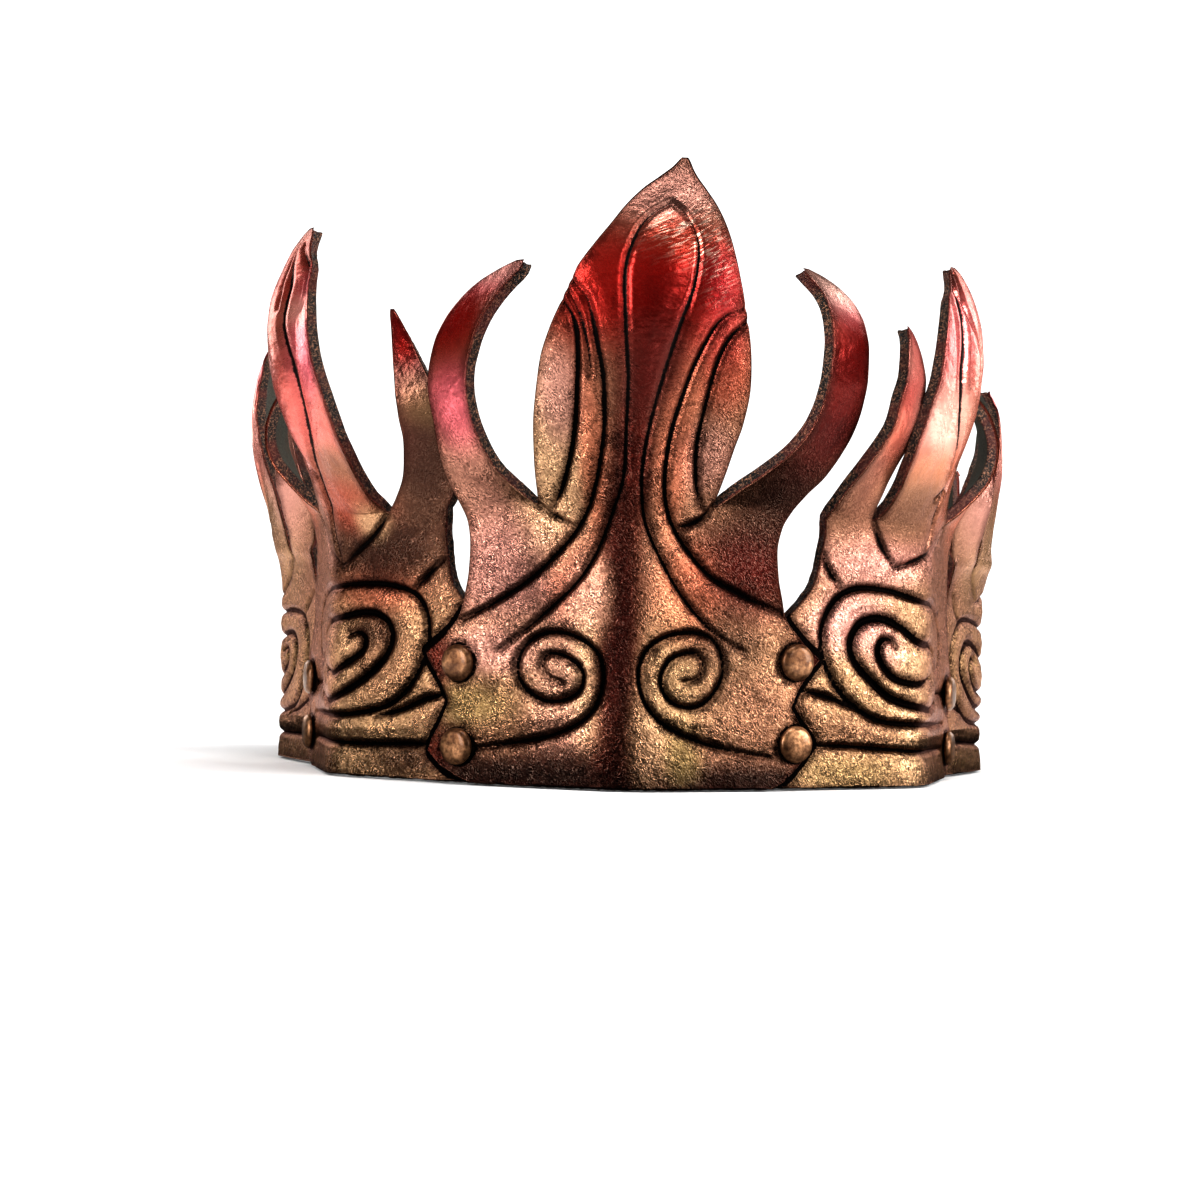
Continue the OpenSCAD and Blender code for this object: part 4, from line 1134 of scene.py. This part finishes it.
class Finish:
    """The nodes of a material, or of the surround."""

    def __init__(self, owner):
        owner.use_nodes = True
        self.material, self.tree = owner, owner.node_tree
        self.shader = self.tree.nodes.get("Principled BSDF")

    def node(self, kind, settings, inputs, output=0):
        """Adds a node and gives back one of its outputs as a wire."""
        made = self.tree.nodes.new("ShaderNode" + kind)
        for name, value in settings.items():
            setattr(made, name, value)
        for name, value in inputs.items():
            self.feed(made.inputs[name], value)
        return Wire(self, made.outputs[output])

    def feed(self, socket, value):
        """Links a wire to the socket, or sets its value."""
        if isinstance(value, Wire):
            self.tree.links.new(value.socket, socket)
        else:
            socket.default_value = value

    def math(self, operation, *values):
        return self.node("Math", {"operation": operation}, dict(enumerate(values)))

    def vector(self, operation, output, *values):
        return self.node("VectorMath", {"operation": operation}, dict(enumerate(values)), output)

    def attribute(self, name, output="Fac"):
        return self.node("Attribute", {"attribute_name": name}, {}, output)

    def mix(self, share, a, b):
        """Colour a where share is 0 and colour b where it is 1."""
        inputs = {"Factor": share, COLOUR_A: a, COLOUR_B: b}
        return self.node("Mix", {"data_type": "RGBA"}, inputs, COLOUR_OUT)

    def noise(self, at, scale, detail, rough, twist=0.0, output=0):
        inputs = {"Vector": at, "Scale": scale, "Detail": detail, "Roughness": rough, "Distortion": twist}
        return self.node("TexNoise", {}, inputs, output)

    def stretched(self, at, angle, along, across):
        """Coordinates turned by an angle and scaled, for grain that runs one way."""
        inputs = {"Vector": at, "Angle": math.radians(angle)}
        turned = self.node("VectorRotate", {"rotation_type": "Z_AXIS"}, inputs)
        return self.vector("MULTIPLY", 0, turned, (along, across, 1))

    def wear(self, **inputs):
        """Sockets of the surface shader, by their names with _ for a space."""
        for name, value in inputs.items():
            self.feed(self.shader.inputs[name.replace("_", " ")], value)

    def bump(self, height, millimetres, strength=1.0):
        inputs = {"Height": height, "Distance": millimetres * MM, "Strength": strength}
        self.wear(Normal=self.node("Bump", {}, inputs))


def rgba(name):
    """A named colour in the form that a colour socket takes."""
    return (*linear(COLOURS[name]), 1)


# %% [markdown]
# The grain side: dark leather whose pebbles catch the metallic paint while the creases between them
# stay dark, and whose pebble tops are lightened further as a painted highlight. The cuts are filled
# with black antique paste, which also stains the leather close to them, and painted shade darkens
# the pressed hollows beside them. Bent places get painted highlights along their wrinkles. Where the
# leather was worked sleek the grain fades and the paint lies even and shines.
# A scanned leather image would repeat and stretch over the folds. So the pebbles come from two
# noises in millimetres of the hide, one of them drawn out slantwise like real grain.

# %% Painted grain side
def painted():
    f = Finish(bpy.data.materials.new("painted grain side"))
    hide = f.attribute("hide", "Vector")
    gap = f.attribute("gap")
    paint = f.attribute("paint", "Color")
    stretch = f.attribute("stretch")
    sleek = f.attribute("sleek")
    border = f.attribute("border")

    # Noises from fine to wide: pebbles, wrinkles, dents and clouds.
    warp = f.noise(hide, scale=0.35, detail=2, rough=0.6, output="Color")
    bent = f.vector("MULTIPLY_ADD", 0, warp, (3, 3, 0), hide)
    slanted = f.stretched(bent, angle=52, along=1.25, across=2.9)
    dash = f.noise(slanted, scale=1, detail=2, rough=0.55)
    dot = f.noise(hide, scale=3.2, detail=1, rough=0.5)
    drawn_out = f.stretched(hide, angle=-28, along=0.28, across=1.9)
    streak = f.noise(drawn_out, scale=1, detail=2, rough=0.6, twist=0.5)
    dent = f.noise(hide, scale=0.4, detail=2, rough=0.5)
    patch = f.noise(hide, scale=0.24, detail=4, rough=0.65, twist=0.5)
    blotch = f.noise(hide, scale=0.07, detail=4, rough=0.6, twist=0.6)

    # Masks from 0 to 1. Those with gap or border in them are in millimetres from a cut or the edge.
    coarse = 1 - sleek * 0.85
    grain = dash * 0.65 + dot * 0.35
    ragged = patch - 0.5
    pits = (grain + ragged * 0.35).step(0.5, 0.38) * coarse
    tops = grain.step(0.5, 0.62) * coarse
    tarnish = (blotch + ragged * 0.8).step(0.46, 0.74) * (1 - sleek * 0.4)
    black = (gap + (grain - 0.5) * 0.5 + ragged * 0.4 + sleek * 0.06).step(0.1, -0.12)
    # Paste stain beside the cuts, and painted shade in the pressed hollows there.
    stain_and_shade = (gap + ragged * 5).step(2.0, 0.0) * (0.68 - sleek * 0.4)
    worn_edge = (border + ragged * 3).step(0.6, 0.1)
    shade = (border + ragged * 3).step(2.6, 0.6) * 0.5
    wrinkles = stretch * streak.step(0.5, 0.62)

    # Paint from below to the top: rubbed with painted highlights on the pebble tops, dulled, worn,
    # painted highlights along the wrinkles, and last the paste stain with painted shade and the paste.
    twice = f.node("VectorMath", {"operation": "SCALE"}, {0: paint, "Scale": 2.0})
    # The pebble tops are lightened to twice the paint and toward pale: a painted highlight.
    painted_glint = f.mix(0.1, twice, rgba("pale"))
    dark = f.mix(0.8, paint, rgba("grime"))
    rubbed_and_glinting = f.mix(tops * 0.6, paint, painted_glint)
    dulled = f.mix(tarnish * 0.6, rubbed_and_glinting, dark)
    worn = f.mix(pits * 0.75, dulled, rgba("crease"))
    # Along the wrinkles the colour is pulled toward pale: a painted highlight.
    wrinkle_glints = f.mix(wrinkles * 0.35, worn, rgba("pale"))
    rimmed = f.mix(shade, wrinkle_glints, rgba("shaded"))
    edged = f.mix(worn_edge * 0.25, rimmed, rgba("rubbed_edge"))
    stained_and_shaded = f.mix(stain_and_shade, edged, rgba("paste_stain_and_shade"))
    f.wear(
        # The same near black fills the cuts with paste and paints the shadow beside the pointed ends.
        Base_Color=f.mix(black, stained_and_shaded, rgba("paste_and_shadow")),
        Metallic=0.96 - sleek * 0.3,
        Roughness=0.27 + pits * 0.15 + ragged * 0.2 + black * 0.2 - wrinkles * 0.08,
        Specular_Tint=(0.88, 0.66, 0.62, 1),
    )
    f.bump(grain * coarse + streak * stretch * 0.5 + dent * 0.9, millimetres=0.32)
    print(f.material.name, "has", len(f.tree.nodes), "nodes")
    return f.material


# %% [markdown]
# The raw edge is a nearly black nap with pale fibre ends. The brush that painted the grain side ran
# a little over the corner, so a thin red line lies along the top of the edge and breaks up where
# the fibres stand out. It could be the grain side's finish made darker, but torn fibres need a
# deeper bump and no shine.

# %% Raw edge
# Where the red line lies and its half width, as shares of the thickness.
LINE_AT, LINE_WIDTH = 0.12, 0.18


def raw_edge():
    f = Finish(bpy.data.materials.new("raw edge"))
    hide = f.attribute("hide", "Vector")
    depth = f.attribute("depth")
    at = f.vector("ADD", 0, hide, f.node("CombineXYZ", {}, {"Z": depth * THICK}))
    fibre = f.noise(at, scale=2, detail=4, rough=0.75, twist=0.5)
    tint = f.noise(hide, scale=0.12, detail=3, rough=0.5)
    brown = f.mix(fibre.step(0.48, 0.62), rgba("raw_dark"), rgba("raw_light"))
    dyed = f.mix(tint.step(0.44, 0.62) * 0.5, brown, rgba("raw_dye"))
    line = (1 - abs(depth - LINE_AT) / LINE_WIDTH).step(0.0, 0.8)
    f.wear(
        Base_Color=f.mix(line * fibre.step(0.36, 0.54) * 0.75, dyed, rgba("raw_paint")),
        Roughness=0.6,
        Metallic=line * 0.1,
    )
    f.bump(fibre, millimetres=0.9)
    print(f.material.name, "has", len(f.tree.nodes), "nodes")
    return f.material


# %% [markdown]
# The flesh side is rough, matt and dyed nearly black, and the tan of the leather shows through the
# dye in clouds. One wide noise gives the clouds and one fine noise the nap. Modelled fibres would
# cost far more and not be seen.

# %% Flesh side
def flesh_side():
    f = Finish(bpy.data.materials.new("flesh side"))
    hide = f.attribute("hide", "Vector")
    nap = f.noise(hide, scale=1.6, detail=4, rough=0.7, twist=0.3)
    cloud = f.noise(hide, scale=0.08, detail=3, rough=0.5)
    dark = f.mix(nap, rgba("flesh_dark"), rgba("flesh_light"))
    f.wear(
        Base_Color=f.mix(cloud.step(0.45, 0.75) * 0.6, dark, rgba("flesh_tan")),
        Roughness=0.9,
        Specular_IOR_Level=0.15,
    )
    f.bump(nap, millimetres=0.35, strength=0.7)
    print(f.material.name, "has", len(f.tree.nodes), "nodes")
    return f.material


# %% [markdown]
# With the grids, the skin and the three finishes ready, each panel is one line of work.

# %% Panels
LEATHER = [painted(), raw_edge(), flesh_side()]
for panel in PANELS:
    leather_piece(panel, skin(panel, *grids(panel)), LEATHER)

# %% [markdown]
# The back band is a plain strip, carried one layer further in than the panels' pointed ends,
# which lie on it. A bent box would do, but as a panel with no flames it gets the same grain, raw
# edge and flesh side as the rest.

# %% Back band
BAND_HIGH = 34


class Band(Panel):
    """A strip with straight ends and no flames."""

    def __init__(self):
        none = ((0, 0, 0, 0, 0), (1, 0, 0, 0, 0))
        straight = [(0, 0, 0)]
        super().__init__(
            "back_band", BACK_PATH, 1, BAND_HIGH, (BAND_HIGH,) * 3, (1,) * 3, (none,) * 3,
            straight, straight, False,
        )

    def away(self, region, u, v):
        return -STEP + 0 * u


band = Band()
band.rubs = [(0, 4, 200, 9, "umber", 0.4), (0, 24, 200, 14, "old_gold", 0.8)]
ends = BACK_PATH.station[[1, 5]] + (-LAP, LAP)
v = np.linspace(0, BAND_HIGH, fours(BAND_HIGH) + 1)
u = between(*(np.full(len(v), end) for end in ends), fours(ends[1] - ends[0]))
high = np.repeat(v[:, None], u.shape[1], 1)
made = {LOW: (u, high, np.minimum(high, BAND_HIGH - high))}
leather_piece(band, skin(band, made, 0, 0), LEATHER)

# %% [markdown]
# A double cap rivet has a thin pressed cap with a soft dome and a rolled rim, a post through both
# layers, and a flatter cap inside. A flattened sphere would lose the rim, so it is turned from its
# cross section. The dome was hammered when the rivet was set, and the bronze paint lies on it
# unevenly.

# %% Rivets
# Cross section of the rivet from the outside in: radius, height over the grain side.
CAP = [
    (0, 2.0), (0.9, 1.99), (1.8, 1.95), (2.6, 1.88), (3.2, 1.78), (3.55, 1.66), (3.75, 1.5), (3.95, 1.36),
    (4.15, 1.16), (4.3, 0.88), (4.4, 0.5), (4.3, 0.22), (4.0, 0.15), (1.5, 0.15), (1.5, -6.55),
    (3.6, -6.55),
    (4, -6.75), (4, -7.3), (3.7, -7.65), (2, -7.75), (0, -7.75),
]
TURNS = 40
JOINTS = {"front": FRONT_PATH, "side": SIDE_PATH, "rear": REAR_PATH}


def rivet_finish():
    f = Finish(bpy.data.materials.new("painted rivet"))
    at = f.node("TexCoord", {}, {}, "Object")
    hammered = f.noise(at, scale=900, detail=3, rough=0.6)
    cloud = f.noise(at, scale=160, detail=3, rough=0.6)
    gold = f.mix(cloud.step(0.35, 0.7), rgba("cap_dark"), rgba("cap_light"))
    f.wear(
        Base_Color=f.mix(hammered.step(0.62, 0.35) * 0.6, gold, rgba("cap_pit")),
        Metallic=0.8,
        Roughness=0.36 + hammered * 0.16,
        Coat_Weight=0.1,
    )
    f.bump(hammered + cloud * 0.5, millimetres=0.16, strength=0.6)
    print(f.material.name, "has", len(f.tree.nodes), "nodes")
    return f.material


def turned_cap(along, normal):
    """Points and faces of the cross section, turned round the normal."""
    angles = np.linspace(0, 2 * np.pi, TURNS, endpoint=False)
    ring = np.outer(np.cos(angles), along) + np.outer(np.sin(angles), (0, 0, 1.0))
    points = [ring * r + normal * (THICK / 2 + h) for r, h in CAP[1:-1]]
    ends = [normal * (THICK / 2 + CAP[0][1]), normal * (THICK / 2 + CAP[-1][1])]
    rows = np.arange(len(points) * TURNS).reshape(len(points), TURNS)
    after = np.roll(rows, -1, 1)
    faces = np.stack([rows[:-1], rows[1:], after[1:], after[:-1]], -1).reshape(-1, 4).tolist()
    top, bottom = rows.size, rows.size + 1
    faces += [[top, int(a), int(b)] for a, b in zip(rows[0], after[0])]
    faces += [[bottom, int(b), int(a)] for a, b in zip(rows[-1], after[-1])]
    return np.vstack(points + [np.array(ends)]), faces


def rivet(name, path, side, height, finish):
    """Sets a rivet at a path's second joint, along the joint's own normal."""
    spot, out = (found[0] for found in path.point(np.array([path.station[3]])))
    place, faces = turned_cap(np.array([-out[1], out[0], 0]), np.array([out[0], out[1], 0]))
    place = ((place + (*spot, height)) * (side, 1, 1) + (*SHIFT, 0)) * MM
    if side < 0:
        faces = [face[::-1] for face in faces]
    mesh = bpy.data.meshes.new(name + "_cap")
    mesh.from_pydata(place.tolist(), [], faces)
    mesh.shade_smooth()
    mesh.materials.append(finish)
    piece = into_scene(mesh)
    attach(piece, "root")
    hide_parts(name)


cap_finish = rivet_finish()
for side, sign in (("left", -1), ("right", 1)):
    for joint, path in JOINTS.items():
        for level, height in zip(("upper", "lower"), HEIGHTS[side][joint]):
            rivet(f"rivet_{side}_{joint}_{level}", path, sign, height, cap_finish)
print("rivets:", sum(len(pair) for joints in HEIGHTS.values() for pair in joints.values()))

# %% [markdown]
# The crown stands on a pale round floor that glows into the white surround further out. A curved
# backdrop would hide the horizon too, but only from one side, and this crown is turned round.

# %% Floor
# Metres, like all measures of the studio: the floor's radius, how far it lies under the rim, and
# the distances between which it turns into the surround.
FLOOR_RADIUS = 8
FLOOR_DROP = 0.0002
GLOW_FROM, GLOW_TO = 0.14, 0.6

bpy.ops.mesh.primitive_circle_add(
    vertices=96, radius=FLOOR_RADIUS, fill_type="NGON", location=(0, 0, -FLOOR_DROP)
)
floor = bpy.context.object
floor.name = "floor"
floor.visible_glossy = False
pale = Finish(bpy.data.materials.new("pale floor"))
pale.wear(Base_Color=(0.9, 0.9, 0.9, 1), Roughness=0.9)
away = pale.vector("LENGTH", "Value", pale.node("TexCoord", {}, {}, "Object"))
body = Wire(pale, pale.shader.outputs[0])
glow = pale.node("Emission", {}, {"Color": (1, 1, 1, 1), "Strength": 1.0})
seamless = pale.node("MixShader", {}, {0: away.step(GLOW_FROM, GLOW_TO), 1: body, 2: glow})
pale.feed(pale.tree.nodes["Material Output"].inputs["Surface"], seamless)
floor.data.materials.append(pale.material)
print("floor:", round(floor.dimensions.x), "m wide")

# %% [markdown]
# Large soft lights at the sides and above draw gleams along the folds, low cards beside the rim
# throw light upward as a pale floor does, and two weak lights behind the crown rim its flames. A
# soft light is a glowing rectangle that the camera doesn't see. Point lights would draw hard dots
# on metallic paint.

# %% Soft lights
CROWN_MIDDLE = (0, 0, 0.07)
# Height of the low cards over the floor; they shine straight up.
CARD_HIGH = 0.012
# Place, width and height, watts.
CARDS = {
    "low front card": ((0, -0.33), (0.9, 0.42), 1.2),
    "low left card": ((-0.33, 0.05), (0.5, 0.7), 1.5),
    "low right card": ((0.33, 0.05), (0.5, 0.7), 1.5),
}
SOFTBOXES = {
    "left softbox": ((-0.95, -0.9, 0.4), (0.3, 0.8), 14),
    "right softbox": ((1.25, -0.35, 0.4), (0.35, 0.8), 17),
    "right fill": ((0.8, -1.0, 0.5), (0.2, 0.5), 3),
    "top softbox": ((0.1, -0.45, 1.25), (0.8, 0.35), 10),
    "left rim light": ((-0.8, 0.9, 0.5), (0.4, 0.8), 4),
    "right rim light": ((0.8, 0.9, 0.5), (0.4, 0.8), 4),
}


def soft_light(name, place, aim, size, watts):
    data = bpy.data.lights.new(name, "AREA")
    data.shape = "RECTANGLE"
    data.size, data.size_y = size
    data.energy = watts
    lamp = into_scene(data)
    lamp.location = place
    lamp.rotation_euler = (Vector(aim) - Vector(place)).to_track_quat("-Z", "Y").to_euler()
    lamp.visible_camera = False


for name, (place, size, watts) in CARDS.items():
    soft_light(name, (*place, CARD_HIGH), (*place, 1), size, watts)
for name, (place, size, watts) in SOFTBOXES.items():
    soft_light(name, place, CROWN_MIDDLE, size, watts)
print("soft lights:", len(CARDS) + len(SOFTBOXES))

# %% [markdown]
# The camera sees a white surround, but hardly any light comes from it, or the folds would lose
# their dark sides. High contrast deepens the blacks of the paste as in the photograph.

# %% Surround
# Colour and strength of the little light that the surround gives.
SKY, SKY_STRENGTH = (0.9, 0.95, 1, 1), 0.06

world = bpy.data.worlds.new("surround")
bpy.context.scene.world = world
air = Finish(world)
shown = air.node("Background", {}, {"Color": (1, 1, 1, 1), "Strength": 1.0})
dim = air.node("Background", {}, {"Color": SKY, "Strength": SKY_STRENGTH})
seen = air.node("LightPath", {}, {}, "Is Camera Ray")
both = air.node("MixShader", {}, {0: seen, 1: dim, 2: shown})
air.feed(air.tree.nodes["World Output"].inputs["Surface"], both)
bpy.context.scene.view_settings.view_transform = "Standard"
bpy.context.scene.view_settings.look = "High Contrast"
print("surround:", world.name)
